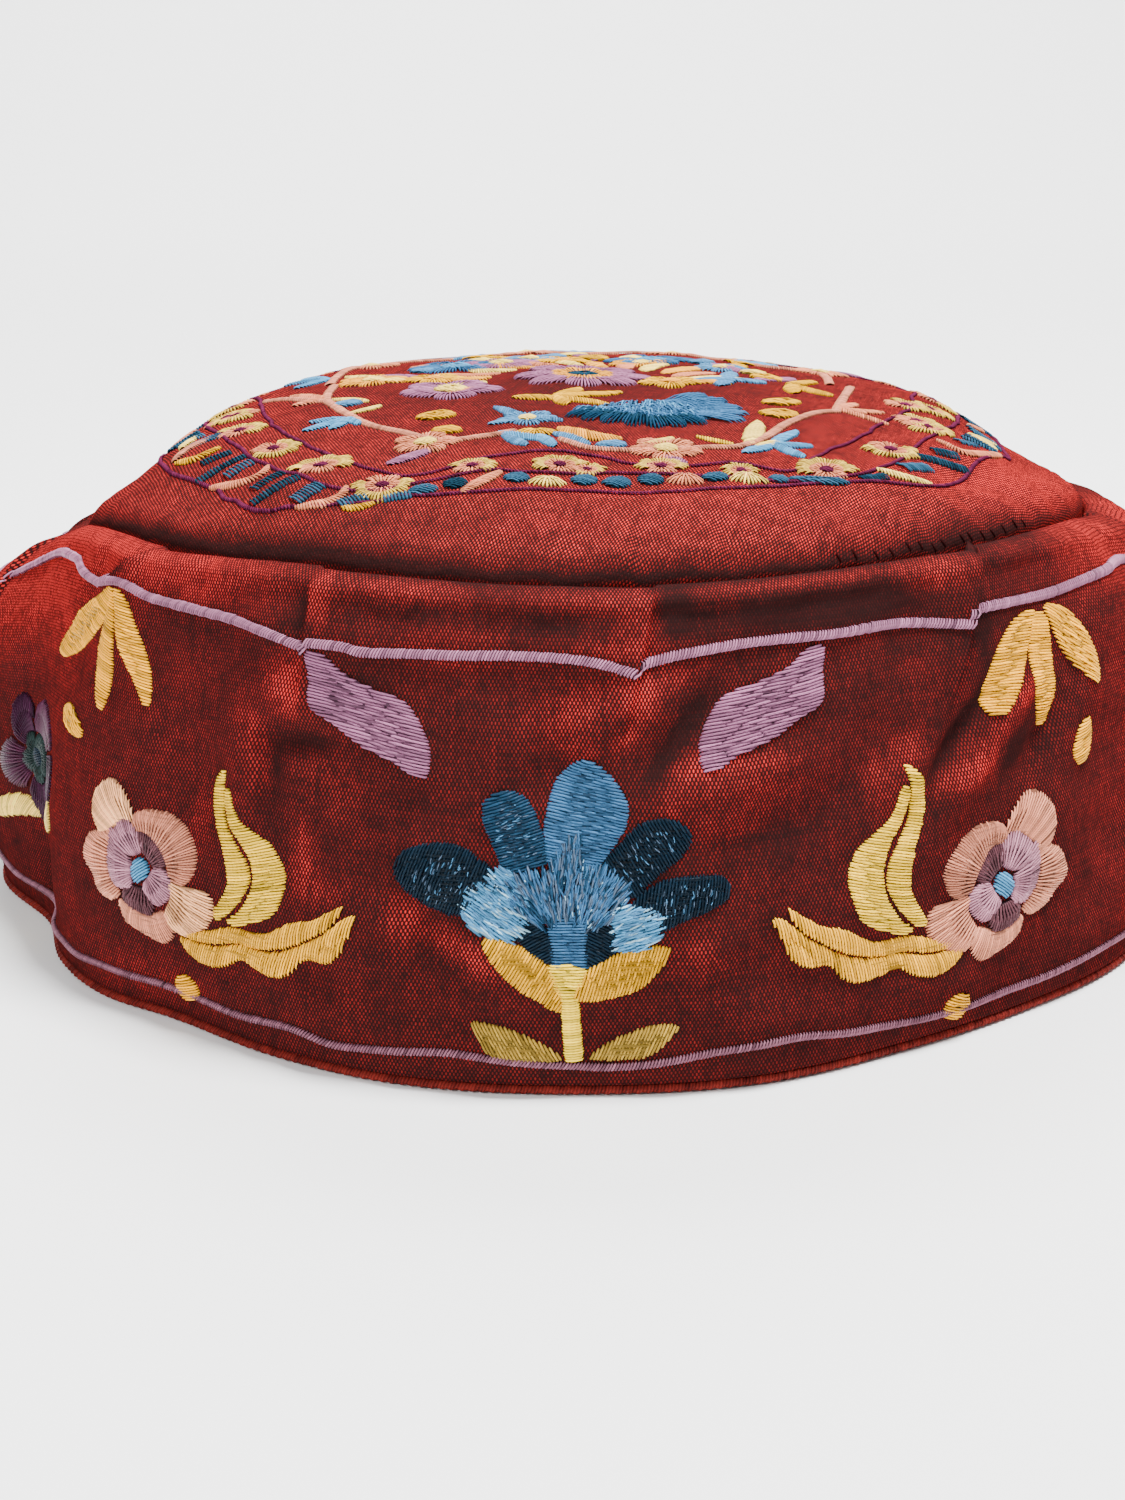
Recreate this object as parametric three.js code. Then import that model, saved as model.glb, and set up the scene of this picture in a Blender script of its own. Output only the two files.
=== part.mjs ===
// A soft Bukharan skullcap of shot silk, standing on its rim.
// Three sewn pieces: a round domed crown, a pleated side band that hangs from the crown seam
// and flares out to the head, and the thin rolled edging along the rim.
// Millimetres, +Z up. The front of the cap faces -Y, and angles are counted from there
// towards +X. The origin is in the middle of the rim, on the surface the cap stands on.

import * as THREE from "three";

// Driving dimensions.
const CROWN_RADIUS = 80;
const SEAM_HEIGHT = 66;
const CROWN_RISE = 14.5;
const RIM_RADIUS = 95;
const CROWN_CLOTH = 2;
const BAND_CLOTH = 2;
const SEAM_ALLOWANCE = 3.2;
const SEAM_GROOVE = 1.3;
const SHOULDER_WIDTH = 2.6;
const PLEAT_STEP = 1.6;
const PLEAT_LEAD = 11;
const PLEAT_SHADOW = 0.7;
const FOLD_DEPTH = 3;
const EDGING_HEIGHT = 1.3;
const EDGING_OVERHANG = 0.4;
const EDGING_CHAMFER = 0.4;
const PIECE_GAP = 0.3;

// How finely the cloth is divided.
const BAND_COLUMNS = 120;
const CROWN_COLUMNS = 90;
const EDGING_COLUMNS = 72;

// The way round the cap, one row for each section.
// Columns: angle in degrees, height of the crown seam as a share of SEAM_HEIGHT, radius of the
// rim as a share of RIM_RADIUS, puff from 0 (hangs straight) to 1 (bulges over the rim).
const ROUND = [
  [-180, 0.885, 0.990, 0.75],
  [-150, 0.875, 1.005, 0.85],
  [-120, 0.855, 1.010, 0.95],
  [-97, 0.832, 1.015, 1.00],
  [-80, 0.885, 1.014, 0.90],
  [-67, 0.965, 0.955, 0.45],
  [-57, 0.992, 0.985, 0.20],
  [-48, 0.996, 0.992, 0.12],
  [-40, 1.002, 0.971, 0.10],
  [-27, 1.018, 0.990, 0.05],
  [-18, 1.012, 1.005, 0.00],
  [0, 1.006, 1.003, 0.00],
  [14, 1.010, 1.000, 0.00],
  [28, 1.016, 0.976, 0.05],
  [43, 1.018, 0.978, 0.12],
  [57, 1.008, 1.004, 0.35],
  [74, 0.970, 1.012, 0.80],
  [95, 0.935, 1.012, 1.00],
  [120, 0.900, 1.000, 0.90],
  [150, 0.888, 1.005, 0.85],
];

// Down the side band, below its shoulder. Columns: way down from the seam as a share of the
// height there, way out from seam to rim where the cloth hangs straight, and where it puffs.
const DOWN = [
  [0.02, 0.230, 0.300],
  [0.06, 0.300, 0.600],
  [0.12, 0.380, 0.850],
  [0.20, 0.480, 1.030],
  [0.30, 0.605, 1.130],
  [0.43, 0.745, 1.120],
  [0.57, 0.855, 1.130],
  [0.71, 0.945, 1.130],
  [0.83, 1.005, 1.090],
  [0.93, 1.010, 1.040],
  [1.00, 1.000, 1.000],
];

// Across the crown. Columns: radius as a share of the seam's, height as a share of the way
// from the seam up to the middle.
const ACROSS = [
  [1.000, 0.00],
  [0.985, 0.14],
  [0.950, 0.29],
  [0.900, 0.44],
  [0.850, 0.57],
  [0.750, 0.70],
  [0.660, 0.77],
  [0.500, 0.87],
  [0.250, 0.96],
];

// Knife pleats, in order round the cap. Columns: angle at the seam in degrees, how far the fold
// leans in degrees for the whole height, length as a share of the band, step as a share of
// PLEAT_STEP, where a plus sign laps the left panel over the right one and a minus the reverse.
const PLEATS = [
  [-137, 2, 0.42, 0.9],
  [-108, -2, 0.40, 1.0],
  [-78, -3, 0.45, 1.0],
  [-47, -55, 0.22, -1.2],
  [-25.4, 0, 0.34, -0.8],
  [5.9, -11, 0.36, 0.9],
  [40, -21, 0.38, 1.0],
  [71, 2, 0.42, 1.0],
  [102, 2, 0.40, 0.9],
  [132, -2, 0.42, 1.0],
  [163, 1, 0.38, 0.9],
  [194, -1, 0.40, 1.0],
];

// Dents and folds of the side band. Columns: angle of the middle in degrees, way down as a
// share, half width in degrees, half height as a share, lean in degrees for the whole height,
// depth as a share of FOLD_DEPTH, where a minus sign makes a ridge.
const FOLDS = [
  [-66, 0.86, 5, 0.16, 0, 0.75],
  [-57, 0.30, 4, 0.16, -14, 0.55],
  [-33, 0.28, 4, 0.13, 8, -0.35],
  [-27, 0.38, 3.5, 0.13, 0, 0.55],
  [-17, 0.09, 8, 0.07, 0, 0.30],
  [-10, 0.74, 5, 0.14, 10, -0.25],
  [0, 0.40, 4, 0.12, -20, -0.30],
  [9, 0.34, 3, 0.12, -16, -0.40],
  [12, 0.46, 5, 0.10, -20, 0.40],
  [24, 0.07, 9, 0.06, 0, 0.40],
  [33, 0.48, 3, 0.10, 30, -0.30],
  [38, 0.40, 3, 0.14, -24, 0.65],
  [44, 0.38, 3, 0.10, 20, -0.40],
  [58, 0.55, 6, 0.20, -10, 0.35],
  [-90, 0.40, 12, 0.08, 0, 0.90],
  [88, 0.60, 9, 0.10, 0, 0.40],
  [116, 0.45, 6, 0.20, 12, 0.60],
  [148, 0.60, 7, 0.16, -16, 0.50],
  [178, 0.42, 7, 0.18, 14, 0.60],
  [-150, 0.62, 6, 0.18, 10, 0.50],
  [-122, 0.45, 6, 0.20, -12, 0.60],
];

// Buckles near the edge of the crown. Columns: angle in degrees, radius as a share of the
// seam's, half width in degrees, half length as a share, depth as a share of FOLD_DEPTH.
const BUCKLES = [
  [-50, 0.90, 7, 0.07, 0.45],
  [-36, 0.88, 6, 0.06, -0.30],
  [-82, 0.86, 9, 0.08, 0.15],
  [8, 0.80, 12, 0.08, 0.20],
  [52, 0.88, 8, 0.07, 0.35],
  [84, 0.86, 16, 0.11, 1.10],
  [125, 0.86, 9, 0.08, 0.45],
  [170, 0.84, 10, 0.09, 0.50],
  [-135, 0.86, 9, 0.08, 0.45],
];

// The shortest way from one angle to another, in degrees.
function turnTo(angle, from) {
  return THREE.MathUtils.euclideanModulo(angle - from + 180, 360) - 180;
}

// A value from one column of the ROUND table, on a smooth closed curve through its rows.
function roundValue(angle, column) {
  const count = ROUND.length;
  const start = ROUND[0][0];
  const place = start + THREE.MathUtils.euclideanModulo(angle - start, 360);
  let row = 0;
  while (row + 1 < count && ROUND[row + 1][0] <= place) row += 1;
  const at = (k) => {
    const lap = Math.floor(k / count);
    const entry = ROUND[k - lap * count];
    return { angle: entry[0] + 360 * lap, value: entry[column] };
  };
  const [before, low, high, after] = [at(row - 1), at(row), at(row + 1), at(row + 2)];
  const span = high.angle - low.angle;
  const share = (place - low.angle) / span;
  const slopeLow = (span * (high.value - before.value)) / (high.angle - before.angle);
  const slopeHigh = (span * (after.value - low.value)) / (after.angle - low.angle);
  const cube = share ** 3;
  const square = share ** 2;
  return (
    (2 * cube - 3 * square + 1) * low.value +
    (cube - 2 * square + share) * slopeLow +
    (3 * square - 2 * cube) * high.value +
    (cube - square) * slopeHigh
  );
}

// Sizes of the cap at one angle.
function section(angle) {
  return {
    seamHeight: SEAM_HEIGHT * roundValue(angle, 1),
    rim: RIM_RADIUS * roundValue(angle, 2),
    puff: THREE.MathUtils.clamp(roundValue(angle, 3), 0, 1),
  };
}

const bandBottom = EDGING_HEIGHT + PIECE_GAP;

// How far a pleat lifts the outside of the band: a slow rise up to the folded edge, then a
// sharp step down, fading away towards the pleat's lower end.
function pleatLift(angle, down) {
  let lift = 0;
  for (const [seamAngle, lean, length, step] of PLEATS) {
    const fade = 1 - THREE.MathUtils.smoothstep(down, length * 0.35, length);
    const turn = THREE.MathUtils.degToRad(turnTo(angle, seamAngle + lean * down));
    const across = Math.sign(step) * turn * CROWN_RADIUS;
    const rise = across > 0 ? 1 - across / PLEAT_SHADOW : 1 + across / PLEAT_LEAD;
    lift += PLEAT_STEP * Math.abs(step) * fade * THREE.MathUtils.clamp(rise, 0, 1);
  }
  return lift;
}

// How far the dents and folds push the whole wall of the band inwards.
function foldDepth(angle, down) {
  let depth = 0;
  for (const [middle, place, halfWidth, halfHeight, lean, share] of FOLDS) {
    const high = (down - place) / halfHeight;
    const wide = turnTo(angle, middle + lean * (down - place)) / halfWidth;
    depth += FOLD_DEPTH * share * Math.exp(-(high * high + wide * wide));
  }
  const held = THREE.MathUtils.smoothstep(down, 0, 0.08);
  return depth * held * (1 - THREE.MathUtils.smoothstep(down, 0.9, 1));
}

// A closed mesh from rings of equal length: each ring joins the next, and the last ring joins
// the first one, or a pole point closes the way when one is given at an end.
function ringsToMesh(rings, poles = {}) {
  const count = rings[0].length;
  const positions = rings.flat().flatMap((point) => point.toArray());
  const index = [];
  const joined = poles.first || poles.last ? rings.length - 1 : rings.length;
  for (let ring = 0; ring < joined; ring += 1) {
    const above = ring * count;
    const below = ((ring + 1) % rings.length) * count;
    for (let k = 0; k < count; k += 1) {
      const next = (k + 1) % count;
      index.push(above + k, below + k, below + next);
      index.push(above + k, below + next, above + next);
    }
  }
  if (poles.first) {
    const pole = positions.length / 3;
    positions.push(...poles.first.toArray());
    for (let k = 0; k < count; k += 1) index.push(pole, k, (k + 1) % count);
  }
  if (poles.last) {
    const pole = positions.length / 3;
    const last = (rings.length - 1) * count;
    positions.push(...poles.last.toArray());
    for (let k = 0; k < count; k += 1) index.push(pole, last + ((k + 1) % count), last + k);
  }
  const geometry = new THREE.BufferGeometry();
  geometry.setAttribute("position", new THREE.Float32BufferAttribute(positions, 3));
  geometry.setIndex(index);
  geometry.computeVertexNormals();
  return geometry;
}

function pointAt(angle, radius, height) {
  const turn = THREE.MathUtils.degToRad(angle);
  return new THREE.Vector3(radius * Math.sin(turn), -radius * Math.cos(turn), height);
}

function evenAngles(count) {
  return Array.from({ length: count }, (_, k) => -180 + (360 * k) / count);
}

// Columns of the band: even steps, and two close ones at each folded pleat edge.
function bandColumns() {
  const shadow = THREE.MathUtils.radToDeg(PLEAT_SHADOW / CROWN_RADIUS);
  const near = 160 / BAND_COLUMNS;
  const edges = PLEATS.map((pleat) => pleat[0]);
  const clear = (angle) => edges.every((edge) => Math.abs(turnTo(angle, edge)) > near);
  const columns = evenAngles(BAND_COLUMNS).filter(clear);
  for (const [edge, , , step] of PLEATS) {
    columns.push(turnTo(edge, 0), turnTo(edge + Math.sign(step) * shadow, 0));
  }
  return columns.sort((a, b) => a - b);
}

// The columns lean with the folds of the pleats on either side of them.
function leaned(angle, down) {
  const count = PLEATS.length;
  const start = PLEATS[0][0];
  const place = start + THREE.MathUtils.euclideanModulo(angle - start, 360);
  let row = 0;
  while (row + 1 < count && PLEATS[row + 1][0] <= place) row += 1;
  const low = PLEATS[row];
  const high = PLEATS[(row + 1) % count];
  const end = high[0] + (row + 1 < count ? 0 : 360);
  const share = THREE.MathUtils.clamp((place - low[0] - 1) / (end - low[0] - 2), 0, 1);
  const shift = ([, lean, length]) => lean * Math.min(down, length);
  return angle + THREE.MathUtils.lerp(shift(low), shift(high), share);
}

// The crown: a low dome on a wall of even thickness, its edge turned down into the seam.
function crownGeometry() {
  const angles = evenAngles(CROWN_COLUMNS);
  const edge = CROWN_RADIUS - PIECE_GAP / 2;
  const top = SEAM_HEIGHT + CROWN_RISE;
  const buckle = (angle, share) => {
    let depth = 0;
    for (const [middle, place, halfWidth, halfLength, part] of BUCKLES) {
      const wide = turnTo(angle, middle) / halfWidth;
      const long = (share - place) / halfLength;
      depth += FOLD_DEPTH * part * Math.exp(-(wide * wide + long * long));
    }
    return depth * (1 - THREE.MathUtils.smoothstep(share, 0.96, 1));
  };
  // The middle stays level; only the border follows the seam where it sags.
  const height = (angle, [share, rise]) => {
    const sag = SEAM_HEIGHT - section(angle).seamHeight;
    const border = THREE.MathUtils.smoothstep(share, 0.5, 1) ** 2;
    return SEAM_HEIGHT + rise * CROWN_RISE - sag * border - buckle(angle, share);
  };
  const ring = (radius, heightAt) => angles.map((angle) => pointAt(angle, radius, heightAt(angle)));
  const turnedEdge = (angle) => section(angle).seamHeight - SEAM_ALLOWANCE;
  const outside = ACROSS.map((row) => ring(row[0] * edge, (angle) => height(angle, row)));
  const inside = ACROSS.map((row) =>
    ring(row[0] * (edge - CROWN_CLOTH), (angle) => height(angle, row) - CROWN_CLOTH),
  );
  const rings = [
    ...outside.reverse(),
    ring(edge, turnedEdge),
    ring(edge - CROWN_CLOTH, turnedEdge),
    ...inside,
  ];
  return ringsToMesh(rings, {
    first: new THREE.Vector3(0, 0, top),
    last: new THREE.Vector3(0, 0, top - CROWN_CLOTH),
  });
}

// The side band: it rises out of the seam, rolls over a soft shoulder and hangs to the rim.
function bandGeometry() {
  const start = CROWN_RADIUS + PIECE_GAP / 2;
  const outsideRow = (angle, [down, straight, puffed]) => {
    const at = section(angle);
    const out = THREE.MathUtils.lerp(straight, puffed, at.puff) * (at.rim - CROWN_RADIUS);
    return {
      radius: CROWN_RADIUS + out - foldDepth(angle, down),
      height: THREE.MathUtils.lerp(at.seamHeight, bandBottom, down),
    };
  };
  // The inside lies one cloth thickness off the outside, square to the wall there.
  const insideRow = (angle, k) => {
    const here = outsideRow(angle, DOWN[k]);
    const above = outsideRow(angle, DOWN[Math.max(k - 1, 0)]);
    const below = outsideRow(angle, DOWN[Math.min(k + 1, DOWN.length - 1)]);
    const along = new THREE.Vector2(below.radius - above.radius, below.height - above.height);
    along.normalize().multiplyScalar(BAND_CLOTH);
    const atRim = k === DOWN.length - 1;
    return {
      radius: here.radius + (atRim ? -BAND_CLOTH : along.y),
      height: atRim ? bandBottom : here.height - along.x,
    };
  };
  const ring = (down, place) =>
    bandColumns().map((column) => {
      const angle = leaned(column, down);
      const { radius, height } = place(angle);
      return pointAt(angle, radius, height);
    });
  const seamRow = (out, drop) => (angle) => ({
    radius: start + out,
    height: section(angle).seamHeight - drop,
  });
  const rollRow = (angle) => ({
    radius: start + 0.3 * SHOULDER_WIDTH + pleatLift(angle, 0),
    height: section(angle).seamHeight - 0.3 * SEAM_GROOVE,
  });
  const outside = DOWN.map((row) =>
    ring(row[0], (angle) => {
      const { radius, height } = outsideRow(angle, row);
      return { radius: radius + pleatLift(angle, row[0]), height };
    }),
  );
  const inside = DOWN.map((row, k) => ring(row[0], (angle) => insideRow(angle, k))).slice(2);
  return ringsToMesh([
    ring(0, seamRow(0, SEAM_ALLOWANCE)),
    ring(0, seamRow(0, SEAM_GROOVE)),
    ring(0, rollRow),
    ...outside,
    ...inside.reverse(),
    ring(0, seamRow(SHOULDER_WIDTH, SEAM_ALLOWANCE)),
  ]);
}

// The edging: a thin roll of cloth under the band's lower edge, flat where it stands.
function edgingGeometry() {
  const half = BAND_CLOTH / 2 + EDGING_OVERHANG;
  const shape = [
    [half - EDGING_CHAMFER, EDGING_HEIGHT],
    [half, EDGING_HEIGHT - EDGING_CHAMFER],
    [half, EDGING_CHAMFER],
    [half - EDGING_CHAMFER, 0],
    [EDGING_CHAMFER - half, 0],
    [-half, EDGING_CHAMFER],
    [-half, EDGING_HEIGHT - EDGING_CHAMFER],
    [EDGING_CHAMFER - half, EDGING_HEIGHT],
  ];
  const ring = ([out, height]) =>
    evenAngles(EDGING_COLUMNS).map((angle) =>
      pointAt(angle, section(angle).rim - BAND_CLOTH / 2 + out, height),
    );
  return ringsToMesh(shape.map(ring));
}

function piece(name, geometry, colour, roughness) {
  const cloth = new THREE.MeshStandardMaterial({ color: colour, roughness, metalness: 0 });
  const mesh = new THREE.Mesh(geometry, cloth);
  mesh.name = name;
  return mesh;
}

const cap = new THREE.Group();
cap.add(piece("crown", crownGeometry(), 0x9c2a22, 0.6));
cap.add(piece("side_band", bandGeometry(), 0x8b241e, 0.6));
cap.add(piece("hem_edging", edgingGeometry(), 0xa8231f, 0.65));

export default cap;
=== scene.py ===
import math

import bpy
import numpy as np
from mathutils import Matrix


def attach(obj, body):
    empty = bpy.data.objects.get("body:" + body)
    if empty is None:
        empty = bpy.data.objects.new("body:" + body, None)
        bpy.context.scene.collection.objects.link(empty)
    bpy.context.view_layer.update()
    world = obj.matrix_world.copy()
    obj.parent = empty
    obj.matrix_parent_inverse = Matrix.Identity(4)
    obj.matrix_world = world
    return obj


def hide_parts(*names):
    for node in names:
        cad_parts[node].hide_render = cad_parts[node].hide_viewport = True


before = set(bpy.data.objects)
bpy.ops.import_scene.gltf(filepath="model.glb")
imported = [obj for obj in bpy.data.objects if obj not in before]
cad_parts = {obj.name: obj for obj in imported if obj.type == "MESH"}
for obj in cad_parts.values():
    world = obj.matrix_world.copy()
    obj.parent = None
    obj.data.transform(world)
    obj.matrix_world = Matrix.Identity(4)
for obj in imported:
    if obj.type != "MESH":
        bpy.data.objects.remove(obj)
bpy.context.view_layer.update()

# A soft skullcap of shot silk with satin-stitched flowers. Sizes are worked out in millimetres
# and angles in degrees from the front, towards +X; every mesh is turned to metres at the end.
# The side band's cloth is measured flat: u runs round the cap, w runs down from the crown seam.
# The crown's cloth is measured flat as well, by X and Y.
MM = 0.001

# The cap's own form.
CROWN_RADIUS = 80.0
SEAM_HEIGHT = 66.0
CROWN_RISE = 14.5
RIM_RADIUS = 95.0
BAND_BOTTOM = 1.6
BAND_LENGTH = 68.0
BAND_TURN = 92.0

# A pleat's edge stands PLEAT_STEP high, after a slow rise of PLEAT_LEAD and before a steep PLEAT_SHADOW.
PLEAT_STEP = 1.6
PLEAT_LEAD = 11.0
PLEAT_SHADOW = 0.7
FOLD_DEPTH = 3.0
PIECE_GAP = 0.3
CLOTH = 1.1

# How far handled cloth swells between its folds, and puckers at the seam.
BAND_SWELL = 0.62
BAND_PUCKER = 0.34
CROWN_SWELL = 0.30
CROWN_GATHER = 0.36

# The roll at the rim, the weave, and the share of red that the cloth shows where no painted highlight or
# shade lies;
# this share is itself painted light, much lighter on the crown than on the band.
EDGING_RADIUS = 1.32
EDGING_INSET = 1.0
EDGING_WINDS = 432
WARP_PITCH = 0.26
WEFT_PITCH = 0.48
WEAVE_TURN = 12
BAND_PAINTED_BASE = 0.085
CROWN_PAINTED_BASE = 0.38

# Stitches. A thread leaves the cloth at its first station, lies on it and goes back in at the last.
THREAD_WIDTH = 0.38
THREAD_STATIONS = np.array([0, 0.1, 0.5, 0.9, 1])
SATIN_PITCH = 0.41
LONGEST_STITCH = 4.6
FAN_PITCH = 0.47
UNDERLAY_PITCH = 0.62
UNDERLAY_WIDTH = 0.74
SHORTEST_STITCH = 0.5
OVERLAP = 0.2
RAGGED = 0.10
FAN_RAGGED = 0.12
UNEVEN_SPLIT = 0.36
DRIFT = 0.04
SINK = 0.12
ARCH_SHARE = 0.055
ARCH_LIMIT = 0.34
THREAD_FLATNESS = 0.34
END_WIDTH = 0.55
LEAF_LEAN = 55
SHADE_SPREAD = 0.20
THREAD_GLOSS = 0.07
# The crown's stitches are painted darker than the same colours on the band: painted shade.
CROWN_THREAD_SHADE = 0.84

random = np.random.default_rng(7)

# Round the cap: angle, seam height as a share, rim radius as a share, puff from 0 to 1.
ROUND = np.array([
    [-180, 0.885, 0.99, 0.75], [-150, 0.875, 1.005, 0.85], [-120, 0.855, 1.01, 0.95],
    [-97, 0.832, 1.015, 1], [-80, 0.885, 1.014, 0.9], [-67, 0.965, 0.955, 0.45],
    [-57, 0.992, 0.985, 0.2], [-48, 0.996, 0.992, 0.12], [-40, 1.002, 0.971, 0.1],
    [-27, 1.018, 0.99, 0.05], [-18, 1.012, 1.005, 0], [0, 1.006, 1.003, 0], [14, 1.01, 1, 0],
    [28, 1.016, 0.976, 0.05], [43, 1.018, 0.978, 0.12], [57, 1.008, 1.004, 0.35],
    [74, 0.97, 1.012, 0.8], [95, 0.935, 1.012, 1], [120, 0.9, 1, 0.9], [150, 0.888, 1.005, 0.85],
])

# Down the band: way down, drop as a share, way out where it hangs and where it puffs.
DOWN = np.array([
    [-0.05, 0.0485, 0.01, 0.01], [-0.02, 0.0197, 0.01, 0.01], [0, 0.006, 0.062, 0.062],
    [0.02, 0.02, 0.23, 0.3], [0.06, 0.06, 0.3, 0.6], [0.12, 0.12, 0.38, 0.85], [0.2, 0.2, 0.48, 1.03],
    [0.3, 0.3, 0.605, 1.13], [0.43, 0.43, 0.745, 1.12], [0.57, 0.57, 0.855, 1.13],
    [0.71, 0.71, 0.945, 1.13], [0.83, 0.83, 1.005, 1.09], [0.93, 0.93, 1.01, 1.04], [1, 1, 1, 1],
])

# Across the crown: share of the seam's radius, share of the crown's rise.
ACROSS = np.array([
    [0, 1], [0.25, 0.96], [0.5, 0.87], [0.66, 0.77], [0.75, 0.7], [0.85, 0.57], [0.9, 0.44],
    [0.95, 0.29], [0.985, 0.14], [1, 0],
])

# Knife pleats: angle at the seam, lean for the whole height, length, and step; a plus sign laps
# the left panel over the right one, and a minus the reverse.
PLEATS = [
    [-137, 2, 0.42, 0.9], [-108, -2, 0.4, 1], [-78, -3, 0.45, 1], [-47, -55, 0.22, -1.2],
    [-25.4, 0, 0.34, -0.8], [5.9, -11, 0.36, 0.9], [40, -21, 0.38, 1], [71, 2, 0.42, 1],
    [102, 2, 0.4, 0.9], [132, -2, 0.42, 1], [163, 1, 0.38, 0.9], [194, -1, 0.4, 1],
]

# Dents and folds: angle, way down, half width, half height, lean, depth (a ridge is negative).
FOLDS = [
    [-66, 0.86, 5, 0.16, 0, 0.75], [-57, 0.3, 4, 0.16, -14, 0.55], [-90, 0.4, 12, 0.08, 0, 0.9],
    [88, 0.6, 9, 0.1, 0, 0.4], [116, 0.45, 6, 0.2, 12, 0.6], [148, 0.6, 7, 0.16, -16, 0.5],
    [178, 0.42, 7, 0.18, 14, 0.6], [-150, 0.62, 6, 0.18, 10, 0.5], [-122, 0.45, 6, 0.2, -12, 0.6],
    # hollows between the crown seam and the upper cord
    [-35, 0.065, 7, 0.035, 0, 0.16], [-18, 0.07, 4, 0.03, 0, 0.26], [-3, 0.07, 5, 0.03, 0, 0.24],
    [10, 0.055, 4, 0.03, 0, 0.22], [22, 0.06, 6, 0.032, 0, 0.28], [46, 0.065, 6, 0.035, 0, 0.24],
    [64, 0.07, 6, 0.035, 0, 0.2], [90, 0.07, 8, 0.035, 0, 0.2], [120, 0.065, 7, 0.035, 0, 0.24],
    [150, 0.07, 8, 0.035, 0, 0.2], [178, 0.065, 8, 0.035, 0, 0.24], [-150, 0.07, 8, 0.035, 0, 0.2],
    [-120, 0.065, 7, 0.035, 0, 0.24], [-93, 0.07, 7, 0.035, 0, 0.2],
    # below the left pleat
    [-27.2, 0.255, 3.4, 0.045, 0, -0.42], [-25.7, 0.335, 4.2, 0.034, 0, 0.55],
    [-28.3, 0.45, 1.7, 0.1, 0, 0.55], [-31.2, 0.39, 2.3, 0.12, 8, -0.42], [-36, 0.44, 3, 0.12, 12, 0.3],
    # below the middle pleat
    [1.2, 0.265, 1.8, 0.07, -26, -0.32], [4.9, 0.205, 2.4, 0.06, 0, -0.5],
    [8.4, 0.275, 2.2, 0.09, -30, 0.55], [9, 0.4, 5, 0.06, -14, -0.45],
    [15.6, 0.37, 3.6, 0.05, -20, -0.36], [14, 0.47, 6, 0.06, -10, 0.4], [-3, 0.36, 2.6, 0.08, -20, 0.3],
    [21, 0.43, 3, 0.08, -30, 0.3],
    # below the right pleat
    [34.6, 0.37, 1.7, 0.09, -42, 0.6], [35.2, 0.475, 2.2, 0.07, -40, -0.45],
    [42.2, 0.325, 2, 0.06, -38, -0.42], [45.6, 0.4, 1.8, 0.08, -38, 0.45],
    [28, 0.44, 3, 0.08, -36, -0.3], [58, 0.55, 6, 0.2, -10, 0.35], [40, 0.62, 4, 0.05, -20, 0.25],
    # low down, beside the flower's calyx and towards the rim
    [-9, 0.71, 2.2, 0.05, 20, -0.4], [-12.5, 0.66, 2.4, 0.06, 16, 0.4], [-6, 0.86, 5, 0.05, 0, 0.22],
    [9.5, 0.73, 2.6, 0.05, -24, -0.34], [19, 0.8, 5, 0.06, 10, 0.3], [-22, 0.8, 5, 0.06, -8, 0.3],
    [-34, 0.88, 6, 0.05, 4, -0.25], [30, 0.88, 6, 0.05, 0, -0.25],
]
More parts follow.
